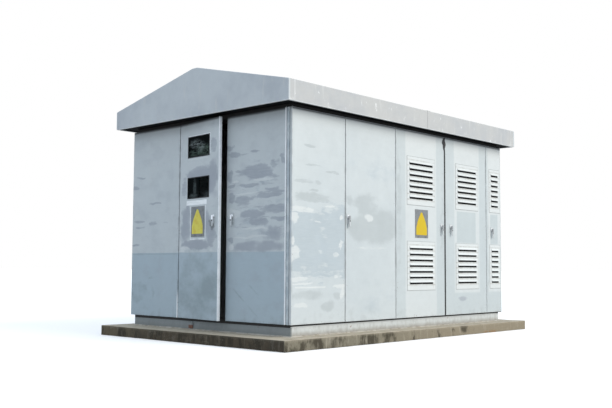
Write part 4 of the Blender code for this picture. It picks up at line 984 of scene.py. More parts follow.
def make_concrete():
    """Cast pad: pale dusty top, tan long sides and dark mossy ends with runs, pits and grit."""
    pick = colours()
    shader = Shader("concrete")
    cloud = shader.noise(2.6, 4.0, 0.6)
    blotch = shader.noise(9.0, 5.0, 0.65)
    grit = shader.noise(110.0, 3.0, 0.7)
    runs = shader.noise(30.0, 4.0, 0.62, (1.0, 1.0, 0.16))
    stains = shader.noise(6.5, 6.0, 0.70, (1.0, 1.0, 0.45))
    top = shader.mix(blotch.rise(0.40, 0.70) * 0.6, pick.concrete, (0.230, 0.200, 0.150))
    long_side = (abs(shader.y) - PAD_HIGH.y + 0.012).rise(0.0, 0.006)
    far = shader.x.rise(-1.5, 1.0)
    long_wall = shader.mix(far, (0.178, 0.162, 0.122), (0.238, 0.204, 0.146))
    end_wall = shader.mix(shader.y.rise(0.3, 1.1), (0.082, 0.064, 0.043), (0.128, 0.105, 0.068))
    wall = shader.mix(long_side, end_wall, long_wall)
    mossy = (stains + (0.05 - far * 0.16) * long_side).rise(0.47, 0.60) * 0.85
    blot = (0.10 - abs(shader.x - PAD_BLOT_X) + (stains - 0.5) * 0.35).rise(0.0, 0.08)
    blot = blot * (shader.z + (blotch - 0.5) * 0.10).rise(0.02, 0.06)
    wall = shader.mix(mossy.most(blot * long_side * 0.8), wall, pick.moss)
    wall = shader.mix(cloud.rise(0.46, 0.62) * (1.0 - long_side) * 0.5, wall, (0.042, 0.036, 0.028))
    flecks = (blotch * 0.6 + grit * 0.4).rise(0.52, 0.64) * (1.0 - long_side)
    wall = shader.mix(flecks * 0.45, wall, (0.205, 0.182, 0.142))
    pale = shader.mix(long_side, (0.150, 0.135, 0.108), (0.330, 0.300, 0.240))
    wall = shader.mix(runs.rise(0.54, 0.70) * 0.5, wall, pale)
    stain = (0.20 - abs(shader.x - PAD_STAIN_X)).rise(0.0, 0.14) * (0.040 - shader.z).rise(0.0, 0.030)
    wall = shader.mix(stain * long_side * runs.rise(0.35, 0.60) * 0.8, wall, (0.250, 0.120, 0.035))
    rim = (shader.z + (blotch - 0.5) * 0.03).rise(PAD_HIGH.z - 0.030, PAD_HIGH.z - 0.006)
    wall = shader.mix(rim * (0.10 + long_side * 0.15), wall, top)
    side = 1.0 - shader.z.rise(PAD_HIGH.z - 0.007, PAD_HIGH.z - 0.004)
    paint = shader.mix(side, top, wall)
    green = shader.noise(30.0, 4.0, 0.7).rise(0.58, 0.70) * cloud.rise(0.40, 0.65)
    paint = shader.mix(green * 0.40, paint, (0.100, 0.105, 0.052))
    pits = shader.spots(85.0).rise(0.20, 0.08) * blotch.rise(0.45, 0.65)
    paint = shader.mix(pits * 0.6, paint, (0.023, 0.021, 0.015))
    shader.bump(grit + blotch * 2.0 - pits, 0.003, 0.6)
    return shader.end(shader.shade(paint, 0.72 + grit * 0.56), 0.88 + grit * 0.1, specular_ior_level=0.2)


def make_mortar():
    """Pale sandy mortar with dirt in its hollows."""
    shader = Shader("mortar")
    blotch = shader.noise(12.0, 5.0, 0.65)
    grit = shader.noise(160.0, 3.0, 0.7)
    paint = shader.mix(blotch.rise(0.40, 0.68), (0.400, 0.375, 0.330), (0.250, 0.225, 0.180))
    shader.bump(grit + blotch, 0.002, 0.5)
    return shader.end(shader.shade(paint, 0.80 + grit * 0.4), 0.92, specular_ior_level=0.2)


def metal(name, tint, rough, wear=0.3):
    """Bare metal with fine scratches and dull patches."""
    shader = Shader(name)
    scratch = shader.noise(60.0, 4.0, 0.7, (1.0, 1.0, 14.0))
    dull = shader.noise(24.0, 3.0)
    paint = shader.mix(dull.rise(0.45, 0.75) * wear, tint, tuple(value * 0.45 for value in tint))
    shader.bump(scratch + dull, 0.0004, 0.3)
    return shader.end(paint, rough + dull * 0.18 + scratch * 0.08, metallic=1.0)


def plain_coat(name, tint, rough, scale=90.0):
    """Moulded plastic or rubber with a fine texture and a little dust."""
    shader = Shader(name)
    grain = shader.noise(scale * 4, 3.0)
    dust = shader.noise(scale * 0.25, 4.0, 0.65)
    paint = shader.mix(dust.rise(0.50, 0.80) * 0.22, tint, (0.277, 0.269, 0.246))
    shader.bump(grain, 0.0004, 0.35)
    return shader.end(shader.shade(paint, 0.88 + grain * 0.2), rough + dust * 0.15, specular_ior_level=0.45)


def make_glass():
    """Dark panes: painted green-grey reflections in the upper one, a dim smear and a clear part in the lower
    one.
    """
    shader = Shader("window_glass")
    across, _, up = LEAVES["meter_door"].axes(shader)
    flat = shader.node("ShaderNodeCombineXYZ", {}, {0: across, 1: up})
    streaks = shader.noise(26.0, 6.0, 0.70, (1.0, 0.6, 1.8), 1.0)
    fine = shader.noise(60.0, 4.0, 0.65, (1.0, 1.0, 3.0))
    dust = shader.noise(70.0, 4.0)
    pale = cover(shader, flat, ((0.27, 1.735, 0.10, 0.040, 1.0), (0.36, 1.700, 0.08, 0.050, 0.7)))
    green = cover(shader, flat, ((0.42, 1.655, 0.15, 0.060, 1.0), (0.28, 1.640, 0.12, 0.040, 0.7)))
    # Near-black, nearly opaque base: painted shade of the dark room behind the panes; the green and pale
    # patches over it are painted reflections.
    paint = shader.mix(green * streaks.rise(0.35, 0.65), (0.0015, 0.0030, 0.0030), (0.080, 0.110, 0.090))
    paint = shader.mix(pale * (streaks + fine * 0.5).rise(0.62, 0.95), paint, (0.190, 0.215, 0.210))
    smear = cover(shader, flat, ((0.27, 1.290, 0.030, 0.090, 0.8), (0.25, 1.215, 0.070, 0.022, 1.0),
                                 (0.47, 1.215, 0.050, 0.025, 0.9)))
    paint = shader.mix(smear * streaks.rise(0.25, 0.60), paint, (0.062, 0.075, 0.074))
    clear = (1.0 - up.rise(1.45, 1.46)) * across.rise(0.33, 0.37)
    shader.feed(shader.surface.inputs["Alpha"], 0.95 - clear * 0.32)
    return shader.end(paint, 0.06 + dust.rise(0.5, 0.9) * 0.15, specular_ior_level=0.008)


def sign_yellow(name, base):
    """Plain enamel panel, faded and a little dirty."""
    shader = Shader(name)
    fade = shader.noise(18.0, 4.0)
    dirt = shader.noise(70.0, 4.0, 0.65)
    paint = shader.mix(fade.rise(0.4, 0.7) * 0.4, base, (0.560, 0.340, 0.040))
    paint = shader.mix(dirt.rise(0.6, 0.8) * 0.4, paint, (0.169, 0.131, 0.046))
    shader.bump(dirt, 0.0003, 0.3)
    return shader.end(paint, 0.35 + dirt * 0.2, specular_ior_level=0.15)


FINISH_MAKERS = {
    "plate_lower": lambda: plate_paint("_louvre_lower"),
    "plate_upper": lambda: plate_paint("_louvre_upper"),
    "roof": make_roof_paint,
    "plinth": make_plinth_paint,
    "soffit": make_painted_soffit_shade,
    "concrete": make_concrete,
    "glass": make_glass,
    "mortar": make_mortar,
    "filter": lambda: plain_coat("filter_mat", (0.010, 0.010, 0.010), 0.95, 40.0),
    "sign_metal": lambda: metal("sign_metal", (0.255, 0.266, 0.270), 0.42, 0.5),
    "sign_gable": lambda: sign_yellow("sign_gable", colours().sign_pale),
    "sign_front": lambda: sign_yellow("sign_front", colours().sign),
    "chrome": lambda: metal("chrome", (0.880, 0.885, 0.890), 0.22, 0.15),
    "zinc": lambda: metal("zinc", (0.354, 0.362, 0.366), 0.36, 0.5),
    "handle_grey": lambda: coated("handle_grey", (0.490, 0.520, 0.528), (0.270, 0.270, 0.265), 0.40, 0.4),
    "copper": lambda: metal("copper", (0.539, 0.277, 0.162), 0.32, 0.6),
    "rubber": lambda: plain_coat("rubber", (0.014, 0.014, 0.015), 0.62),
    "cable": lambda: plain_coat("cable", (0.020, 0.018, 0.018), 0.5),
    "plastic": lambda: plain_coat("plastic", (0.035, 0.035, 0.039), 0.38),
    "meter_case": lambda: plain_coat("meter_case", (0.462, 0.462, 0.431), 0.36),
    "red": lambda: plain_coat("red_plastic", (0.323, 0.023, 0.017), 0.34),
    "porcelain": lambda: plain_coat("porcelain", (0.154, 0.054, 0.031), 0.10),
    "inside": lambda: coated("inside_paint", colours().inside, (0.246, 0.239, 0.216), 0.45, 0.3),
    "tank": lambda: coated("tank_paint", colours().tank, (0.108, 0.077, 0.054), 0.46, 0.5),
    "frame": make_frame_paint,
    "floor_steel": lambda: metal("floor_steel", (0.231, 0.231, 0.231), 0.5, 0.6),
}


# Operators


class KioskOperator:
    """Shared part of the operators that make the pieces."""

    bl_options = {"REGISTER", "UNDO"}

    def execute(self, context):
        self.make()
        return {"FINISHED"}


class KIOSK_OT_paintwork(KioskOperator, bpy.types.Operator):
    """Give every CAD node that stays in view its own finish"""

    bl_idname = "kiosk.paintwork"
    bl_label = "Paint of the plain pieces"

    NODE_FINISHES = {
        "body_frame": "frame", "ceiling_tray": "soffit", "cross_partition": "inside",
        "switch_partition": "inside", "floor_plate": "floor_steel", "meter_window_lower": "glass",
        "meter_window_upper": "glass",
    }

    def make(self):
        for node, name in self.NODE_FINISHES.items():
            paint_node(node, finish(name))


class KIOSK_OT_leaves(KioskOperator, bpy.types.Operator):
    """Model the folded skins of the doors and fixed panels with softened edges"""

    bl_idname = "kiosk.leaves"
    bl_label = "Doors and panels"

    def make(self):
        for leaf in LEAVES.values():
            skin = soften(merged(leaf.name), sizes().fold_radius)
            finish_piece(skin, leaf.name + "_skin", leaf.body, leaf_paint(leaf), (leaf.name,), 40)


class KIOSK_OT_equipment(KioskOperator, bpy.types.Operator):
    """Model the equipment and the base channel from their CAD nodes with softened edges"""

    bl_idname = "kiosk.equipment"
    bl_label = "Equipment with soft edges"

    # Node, its finish, its slot and the radius of its edges
    NODES = (
        ("base_frame", "plinth", "frame_paint", 0.0020),
        ("transformer_tank", "tank", "frame_paint", 0.0030),
        ("transformer_lid", "tank", "frame_paint", 0.0020),
        ("lv_switchboard", "inside", "inside_paint", 0.0015),
        ("ring_main_unit", "inside", "inside_paint", 0.0015),
        ("main_breaker", "plastic", "black_plastic", 0.0030),
        ("main_breaker_toggle", "red", "red_plastic", 0.0015),
        ("energy_meter", "meter_case", "meter_plastic", 0.0060),
        ("rmu_operating_lever", "red", "red_plastic", 0.0020),
        ("tap_changer_knob", "red", "red_plastic", 0.0025),
        ("lv_terminal_block", "plastic", "black_plastic", 0.0025),
        ("lv_bus_duct", "copper", "copper", 0.0020),
    )
    ROUND_NODES = (("hv_bushing_%d", "porcelain", "porcelain"), ("hv_cable_%d", "cable", "cable_rubber"))

    def make(self):
        for node, look, slot, radius in self.NODES:
            body = node if node in frame["bodies"] else "kiosk"
            piece = soften(merged(node), radius)
            if node == "rmu_operating_lever":
                self.slim_shaft(piece)
            finish_piece(piece, node + "_soft", body, finish(look), (node,))
        for pattern, look, slot in self.ROUND_NODES:
            for number in (1, 2, 3):
                node = pattern % number
                finish_piece(merged(node), node + "_round", "kiosk", finish(look), (node,), 60)

    def slim_shaft(self, lever):
        """Draw the lever's shaft in a little, so that its facets turn freely in the bore."""
        pivot = JOINT_PLACES["rmu_operating_lever"]
        with Edit(lever, "VERT") as edit:
            edit.pick(lambda vert: vert.co.y < pivot.y + 0.012
                      and math.hypot(vert.co.x - pivot.x, vert.co.z - pivot.z) < 0.0135)
            bpy.ops.transform.resize(value=(0.92, 1, 0.92), center_override=pivot)


class KIOSK_OT_pad(KioskOperator, bpy.types.Operator):
    """Model the rough cast pad from the CAD pad"""

    bl_idname = "kiosk.pad"
    bl_label = "Concrete pad"

    def make(self):
        pad = merged("concrete_pad")
        grid = sizes().pad_grid
        with Edit(pad) as edit:
            for axis, cell in ((0, grid), (1, grid), (2, grid * 0.42)):
                count = round((PAD_HIGH[axis] - PAD_LOW[axis]) / cell)
                for step in range(1, count):
                    line = Vector((axis == 0, axis == 1, axis == 2))
                    here = PAD_LOW + (PAD_HIGH - PAD_LOW) * (step / count)
                    edit.slice(here, line)
        soften(pad, 0.0025)
        for name, size, share in (("pad_chips", 0.16, 1.0), ("pad_grain", 0.045, 0.5)):
            clouds = bpy.data.textures.new(name, "CLOUDS")
            clouds.noise_scale = size
            clouds.noise_depth = 2
            modify(pad, "DISPLACE", texture=clouds, texture_coords="LOCAL", mid_level=0.5,
                   strength=sizes().pad_wear * share)
        self.fit(pad)
        finish_piece(pad, "pad_cast", "kiosk", finish("concrete"), ("concrete_pad",), 60)
        self.add_mortar()

    def add_mortar(self):
        """Uneven mortar fillet along the foot of the base channel."""
        reach, height = sizes().mortar_reach, sizes().mortar_height
        floor = PAD_HIGH.z - 0.004
        half_x, half_y = BASE_HIGH.x, BASE_HIGH.y
        fillet = add_block((-half_x - reach, -half_y - reach, floor),
                           (half_x + reach, half_y + reach, PAD_HIGH.z + height))
        with Edit(fillet) as edit:
            edit.pick(lambda face: face.normal.z > 0.9)
            bpy.ops.transform.resize(value=(1 - reach / half_x, 1 - reach / half_y, 1),
                                     center_override=(0, 0, PAD_HIGH.z))
        cut(fillet, add_block((-half_x + 0.004, -half_y + 0.004, 0), (half_x - 0.004, half_y - 0.004, 1)))
        fillet.data.remesh_voxel_size = reach * 0.4
        focus(fillet)
        bpy.ops.object.voxel_remesh()
        lumps = bpy.data.textures.new("mortar_lumps", "CLOUDS")
        lumps.noise_scale = 0.10
        modify(fillet, "DISPLACE", texture=lumps, texture_coords="LOCAL", mid_level=0.6,
               strength=reach * 0.6)
        modify(fillet, "SMOOTH", factor=0.5, iterations=6)
        finish_piece(fillet, "base_mortar", "kiosk", finish("mortar"), (), 60)

    def fit(self, pad):
        """Stretch the worn pad back to the box of the CAD pad."""
        points = [vert.co for vert in pad.data.vertices]
        low = Vector(min(point[axis] for point in points) for axis in range(3))
        high = Vector(max(point[axis] for point in points) for axis in range(3))
        grow = [(PAD_HIGH[axis] - PAD_LOW[axis]) / (high[axis] - low[axis]) for axis in range(3)]
        stretch = Matrix.Diagonal((*grow, 1))
        pad.data.transform(Matrix.Translation(PAD_LOW) @ stretch @ Matrix.Translation(-low))


class KIOSK_OT_roof(KioskOperator, bpy.types.Operator):
    """Model the folded roof, its corner angles and its lap joints"""

    bl_idname = "kiosk.roof"
    bl_label = "Roof"

    RIDGE_FLAT = 0.070
    FASCIA_HEIGHT = 0.194
    SHEET = 0.003
    ANGLE_WIDTH = 0.080
    ANGLE_RETURN = 0.030
    ANGLE_SHEET = 0.0016
    LAP_X = 0.172
    LAP_WIDTH = 0.050

    def slope_z(self, y):
        """Height of the roof's outer face at a distance from its middle line."""
        eave = ROOF_LOW.z + self.FASCIA_HEIGHT
        run = ROOF_HIGH.y - self.RIDGE_FLAT / 2
        return eave + (ROOF_HIGH.z - eave) * min(1.0, (ROOF_HIGH.y - abs(y)) / run)

    def make(self):
        eave = ROOF_LOW.z + self.FASCIA_HEIGHT
        shell = add_block(ROOF_LOW, (ROOF_HIGH.x, ROOF_HIGH.y, eave), "roof")
        with Edit(shell) as edit:
            for y in (-self.RIDGE_FLAT / 2, self.RIDGE_FLAT / 2):
                edit.slice((0, y, 0), (0, 1, 0))
            edit.pick(lambda face: face.normal.z < -0.9)
            bpy.ops.mesh.delete(type="FACE")
            edit.pick(lambda face: face.normal.z > 0.9 and abs(middle(face).y) < self.RIDGE_FLAT / 2)
            bpy.ops.transform.translate(value=(0, 0, ROOF_HIGH.z - eave))
        with Edit(shell, "EDGE") as edit:
            edit.pick(lambda edge: edge.is_boundary)
            bpy.ops.mesh.extrude_edges_move()
            lip = sizes().roof_lip
            bpy.ops.transform.resize(value=(1 - lip / ROOF_HIGH.x, 1 - lip / ROOF_HIGH.y, 1),
                                     center_override=(0, 0, ROOF_LOW.z))
            edit.pick(lambda edge: not edge.is_boundary)
            bpy.ops.mesh.bevel(offset=0.005, segments=3, affect="EDGES")
            bpy.ops.mesh.select_all(action="SELECT")
            bpy.ops.mesh.normals_make_consistent(inside=False)
        modify(shell, "SOLIDIFY", thickness=self.SHEET, offset=-1.0)
        pieces = [shell] + self.corner_angles() + self.lap_strips() + self.ridge_cap() + self.screws()
        finish_piece(join("roof_skin", *pieces), "roof_skin", "kiosk", finish("roof"),
                     ("roof_shell",), 30)

    def corner_angles(self):
        """Pressed angles that cover the four upright corners of the fascias."""
        low = ROOF_LOW.z + 0.004
        high = ROOF_LOW.z + self.FASCIA_HEIGHT - 0.004
        proud = self.ANGLE_SHEET
        made = []
        for side_x in (-1, 1):
            for side_y in (-1, 1):
                x, y = side_x * (ROOF_HIGH.x + proud), side_y * (ROOF_HIGH.y + proud)
                back = x - side_x * self.ANGLE_WIDTH
                turn = y - side_y * self.ANGLE_RETURN
                outer = add_block((min(x, back), min(y, turn), low), (max(x, back), max(y, turn), high))
                inner_x, inner_y = x - side_x * proud, y - side_y * proud
                far_x, far_y = back - side_x * 0.01, turn - side_y * 0.01
                cut(outer, add_block((min(inner_x, far_x), min(inner_y, far_y), low - 0.01),
                                     (max(inner_x, far_x), max(inner_y, far_y), high + 0.01)))
                made.append(soften(outer, 0.0006, 1))
        return made

    def lap_strips(self):
        """Cover strips over the joint of the roof sheets, from each fascia up to the ridge."""
        low = ROOF_LOW.z + 0.003
        eave = ROOF_LOW.z + self.FASCIA_HEIGHT
        half = self.LAP_WIDTH / 2
        lift = 0.0025
        made = []
        for side in (-1, 1):
            strip = add_block((self.LAP_X - half, 0, low), (self.LAP_X + half, lift, eave))
            with Edit(strip) as edit:
                edit.pick(lambda face: face.normal.z > 0.9)
                edit.extrude(0, 0, lift)
                edit.pick(lambda face: face.normal.y < -0.9 and middle(face).z > eave)
                run = ROOF_HIGH.y - self.RIDGE_FLAT / 2
                rise = ROOF_HIGH.z - eave
                edit.extrude(0, -run, rise)
            if side < 0:
                strip.data.transform(Matrix.Rotation(math.pi, 4, "Z"))
                strip.data.transform(Matrix.Translation((2 * self.LAP_X, 0, 0)))
            strip.data.transform(Matrix.Translation((0, side * ROOF_HIGH.y, 0)))
            made.append(soften(strip, 0.0008, 1))
        return made

    def ridge_cap(self):
        """Shallow capping along the ridge, folded down both slopes."""
        half = self.RIDGE_FLAT / 2
        cap = add_block((ROOF_LOW.x + 0.02, -half, ROOF_HIGH.z - 0.001),
                        (ROOF_HIGH.x - 0.02, half, ROOF_HIGH.z + 0.002))
        fall = (ROOF_HIGH.z - ROOF_LOW.z - self.FASCIA_HEIGHT) / (ROOF_HIGH.y - half)
        with Edit(cap) as edit:
            for side in (-1, 1):
                edit.pick(lambda face: face.normal.y * side > 0.9)
                reach = 0.09
                edit.extrude(0, side * reach, -reach * fall)
        return [soften(cap, 0.0008, 1)]

    def screws(self):
        """Screws with washers along the eaves and beside the ridge."""
        radius = sizes().screw_radius
        screw = model_screw(radius)
        fall = math.atan2(ROOF_HIGH.z - ROOF_LOW.z - self.FASCIA_HEIGHT, ROOF_HIGH.y - self.RIDGE_FLAT / 2)
        made = []
        for side in (-1, 1):
            for y in (ROOF_HIGH.y - 0.06, 0.09):
                for step in range(9):
                    x = ROOF_LOW.x + 0.08 + step * (ROOF_HIGH.x - ROOF_LOW.x - 0.16) / 8
                    place = Matrix.Translation((x, side * y, self.slope_z(y) + 0.002 * (y < 0.1)))
                    made.append(copy_to(screw, place @ Matrix.Rotation(-side * fall, 4, "X")))
        discard(screw)
        return made


class KIOSK_OT_louvres(KioskOperator, bpy.types.Operator):
    """Model the louvre plates with their pressed hoods, slots and rivets"""

    bl_idname = "kiosk.louvres"
    bl_label = "Louvre plates"

    def make(self):
        models = {}
        rivet = model_rivet(sizes().rivet_radius)
        for node in LOUVRE_NODES:
            leaf = leaf_of(node)
            low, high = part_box(node)
            inverse = leaf.place().inverted()
            left, right = sorted(((inverse @ low).x, (inverse @ high).x))
            width, height = right - left, high.z - low.z
            key = round(width, 3)
            if key not in models:
                models[key] = self.model_plate(width, height, rivet)
            plate = copy_to(models[key], leaf.place(left, 0, low.z - LEAF_BOTTOM))
            row = "plate_" + node.rsplit("_", 1)[1]
            finish_piece(plate, node + "_pressed", leaf.body, finish(row), (node,))
        discard(rivet, *models.values())

    def model_plate(self, width, height, rivet):
        """Plate in the leaf's frame, with its lower left corner at the origin."""
        size = sizes()
        sheet = size.plate_sheet
        count = size.slot_count
        first = (height - (count - 1) * size.slot_pitch) / 2 - size.slot_height / 2
        plate = soft_block((0, -sheet - 0.0003, 0), (width, -0.0003, height), 0.0008, 1)
        slot = add_block((size.slot_margin, -0.01, first),
                         (width - size.slot_margin, 0.01, first + size.slot_height))
        modify(slot, "ARRAY", count=count, use_relative_offset=False, use_constant_offset=True,
               constant_offset_displace=(0, 0, size.slot_pitch))
        cut(plate, slot)
        hood = self.model_hood(width - 2 * size.slot_margin + 0.006)
        pieces = [plate]
        for step in range(count):
            top = first + size.slot_height + step * size.slot_pitch
            pieces.append(copy_to(hood, Matrix.Translation((size.slot_margin - 0.003, -sheet * 0.7, top))))
        inset = 0.014
        for x in (inset, width / 2, width - inset):
            for z in (inset, height / 2, height - inset):
                if (x, z) != (width / 2, height / 2):
                    pieces.append(copy_to(rivet, Matrix.Translation((x, -sheet - 0.0003, z))))
        discard(hood)
        return join("louvre_plate", *pieces)

    def model_hood(self, width):
        """Pressed hood that opens downward over the top of a slot of this width."""
        size = sizes()
        depth, root = size.hood_depth, size.hood_root
        hood = add_block((0, -depth, -size.hood_drop), (width, 0, root))
        with Edit(hood, "EDGE") as edit:
            edit.pick(lambda edge: middle(edge).y < -depth + EPS and middle(edge).z > root - EPS)
            bpy.ops.transform.translate(value=(0, depth * 0.82, 0))
            bpy.ops.transform.resize(value=(1 - 0.012 / width, 1, 1), center_override=(width / 2, 0, 0))
        with Edit(hood) as edit:
            edit.pick(lambda face: face.normal.z < -0.9 or face.normal.y > 0.9)
            bpy.ops.mesh.delete(type="FACE")
        with Edit(hood, "EDGE") as edit:
            edit.pick(lambda edge: not edge.is_boundary)
            bpy.ops.mesh.bevel(offset=0.0045, segments=3, affect="EDGES")
        return modify(hood, "SOLIDIFY", thickness=0.0014, offset=-1.0)


def model_rivet(radius):
    """Low domed rivet head on the plane y = 0, facing -y."""
    deselect()
    bpy.ops.mesh.primitive_uv_sphere_add(segments=10, ring_count=6, radius=radius)
    rivet = name_new("rivet")
    with Edit(rivet):
        bpy.ops.mesh.select_all(action="SELECT")
        bpy.ops.transform.resize(value=(1, 0.5, 1))
        bpy.ops.mesh.bisect(plane_co=(0, 0.0002, 0), plane_no=(0, 1, 0), clear_outer=True, use_fill=True)
    return rivet


class KIOSK_OT_handles(KioskOperator, bpy.types.Operator):
    """Model the turning handles with their roses, levers, shafts and cams"""

    bl_idname = "kiosk.handles"
    bl_label = "Handles"

    def make(self):
        models = {bright: self.model_handle(bright) for bright in (True, False)}
        plate = self.model_plate()
        for node in HANDLE_NODES:
            leaf = leaf_of(node)
            turn = leaf.place().to_3x3().to_4x4()
            place = Matrix.Translation(JOINT_PLACES[node]) @ turn
            bright = leaf.wall == "gable"
            lever = copy_to(models[bright], place)
            finish_piece(lever, node + "_lever", node, None, (node,))
            back = copy_to(plate, place)
            finish_piece(back, node + "_plate", leaf.body, finish("handle_grey"))
        discard(plate, *models.values())

    def model_handle(self, bright):
        """Handle about its shaft's axis, which runs along y; the leaf's face is y = 0."""
        size = sizes()
        rose = soft_rod((0, -0.0032, 0), (0, -0.011, 0), size.rose_radius * 0.86, 24, 0.0028, 3)
        neck = soft_rod((0, -0.009, 0), (0, -0.024, 0), 0.0105, 20, 0.001, 2)
        lever = add_block((-0.012, -0.0265, -size.lever_length), (0.012, -0.0145, 0.012))
        with Edit(lever) as edit:
            edit.pick(lambda face: face.normal.z < -0.9)
            bpy.ops.transform.resize(value=(0.72, 0.8, 1), center_override=(0, -0.020, -size.lever_length))
            bpy.ops.transform.translate(value=(0, -0.002, 0))
        with Edit(lever) as edit:
            for level in (-0.03, -size.lever_length + 0.015):
                edit.slice((0, 0, level), (0, 0, 1))
        soften(lever, 0.0042, 3)
        shaft = add_rod((0, -0.006, 0), (0, 0.0125, 0), 0.006, 16)
        cam = soft_block((-0.009, 0.0045, -0.040), (0.009, 0.0085, 0.009), 0.0015, 2)
        nut = soft_rod((0, 0.0085, 0), (0, 0.0125, 0), 0.0095, 6, 0.0006, 1)
        keyhole = add_rod((0, -0.0255, -0.040), (0, -0.0275, -0.040), 0.0068, 12)
        top = "chrome" if bright else "zinc"
        looks = {top: (rose, neck), "handle_grey": (lever,), "zinc": (shaft, cam, nut), "rubber": (keyhole,)}
        for look, things in looks.items():
            for thing in things:
                thing.data.materials.append(finish(look))
        lever.data.materials.append(finish(top))
        for face in lever.data.polygons:
            face.material_index = int(face.center.z > -0.029)
        return join("handle", rose, neck, lever, shaft, cam, nut, keyhole)

    def model_plate(self):
        """Fixed back plate under the rose, with two rivets."""
        plate = add_block((-0.023, -0.003, -0.066), (0.023, -0.0002, 0.034))
        with Edit(plate, "EDGE") as edit:
            edit.pick(lambda edge: abs(edge.verts[0].co.y - edge.verts[1].co.y) > 0.001)
            bpy.ops.mesh.bevel(offset=0.010, segments=4, affect="EDGES")
        soften(plate, 0.0006, 1)
        hole = add_rod((0, -0.01, 0), (0, 0.01, 0), 0.0075, 16)
        cut(plate, hole)
        rivet = model_rivet(0.0035)
        rivets = [copy_to(rivet, Matrix.Translation((0, -0.003, z))) for z in (0.026, -0.058)]
        discard(rivet)
        return join("back_plate", plate, *rivets)


class KIOSK_OT_backs(KioskOperator, bpy.types.Operator):
    """Model the backs of the doors: stiffeners, lock rods with guides, and filter mats"""

    bl_idname = "kiosk.backs"
    bl_label = "Door backs"

    STIFFENER_LEVELS = (0.14, 0.86, 1.87)
    STIFFENER_HALF = 0.030
    STIFFENER_TOP = 0.0125
    ROD_DEPTH = 0.0180
    ROD_RADIUS = 0.0040

    def make(self):
        for leaf in LEAVES.values():
            pieces = [self.model_stiffener(leaf, level) for level in self.STIFFENER_LEVELS]
            back = join("stiffeners", *pieces)
            back.data.transform(leaf.place())
            finish_piece(back, leaf.name + "_stiffeners", leaf.body, finish("inside"))
        for node in HANDLE_NODES:
            self.add_lock_rods(node)
        for node in LOUVRE_NODES:
            self.add_filter(node)

    def model_stiffener(self, leaf, level):
        """Pressed rib across the back of a leaf."""
        margin = 0.0035
        half = self.STIFFENER_HALF
        rib = add_block((margin, LEAF_SHEET + 0.0002, level - half),
                        (leaf.width - margin, self.STIFFENER_TOP, level + half))
        with Edit(rib) as edit:
            edit.pick(lambda face: face.normal.y > 0.9)
            bpy.ops.transform.resize(value=(1, 1, 0.6), center_override=(0, 0, level))
        return soften(rib, 0.0012)

    def add_lock_rods(self, node):
        """Rods from the handle's cam to the head and the foot of its door."""
        leaf = leaf_of(node)
        centre = leaf.place().inverted() @ JOINT_PLACES[node]
        depth, radius = self.ROD_DEPTH, self.ROD_RADIUS
        pieces = []
        for foot, head in ((0.020, centre.z - 0.012), (centre.z + 0.012, LEAF_HEIGHT - 0.020)):
            pieces.append(add_rod((centre.x, depth, foot), (centre.x, depth, head), radius, 10))
        pieces.append(soft_block((centre.x - 0.011, depth - 0.0045, centre.z - 0.020),
                                 (centre.x + 0.011, depth + 0.0045, centre.z + 0.020), 0.002))
        for level in self.STIFFENER_LEVELS:
            guide = add_block((centre.x - 0.010, self.STIFFENER_TOP - 0.0003, level - 0.010),
                              (centre.x + 0.010, depth + radius + 0.0015, level + 0.010))
            pieces.append(soften(guide, 0.0015))
        rods = join("lock_rods", *pieces)
        rods.data.transform(leaf.place())
        finish_piece(rods, node + "_lock_rods", leaf.body, finish("zinc"))

    def add_filter(self, node):
        """Dark mat behind a louvre plate that keeps dust and insects out."""
        leaf = leaf_of(node)
        inverse = leaf.place().inverted()
        low, high = (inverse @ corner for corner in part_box(node))
        left, right = sorted((low.x, high.x))
        mat = add_block((left + 0.012, LEAF_SHEET + 0.0003, low.z + 0.012),
                        (right - 0.012, 0.0075, high.z - 0.012))
        mat.data.transform(leaf.place())
        finish_piece(mat, node + "_filter", leaf.body, finish("filter"))


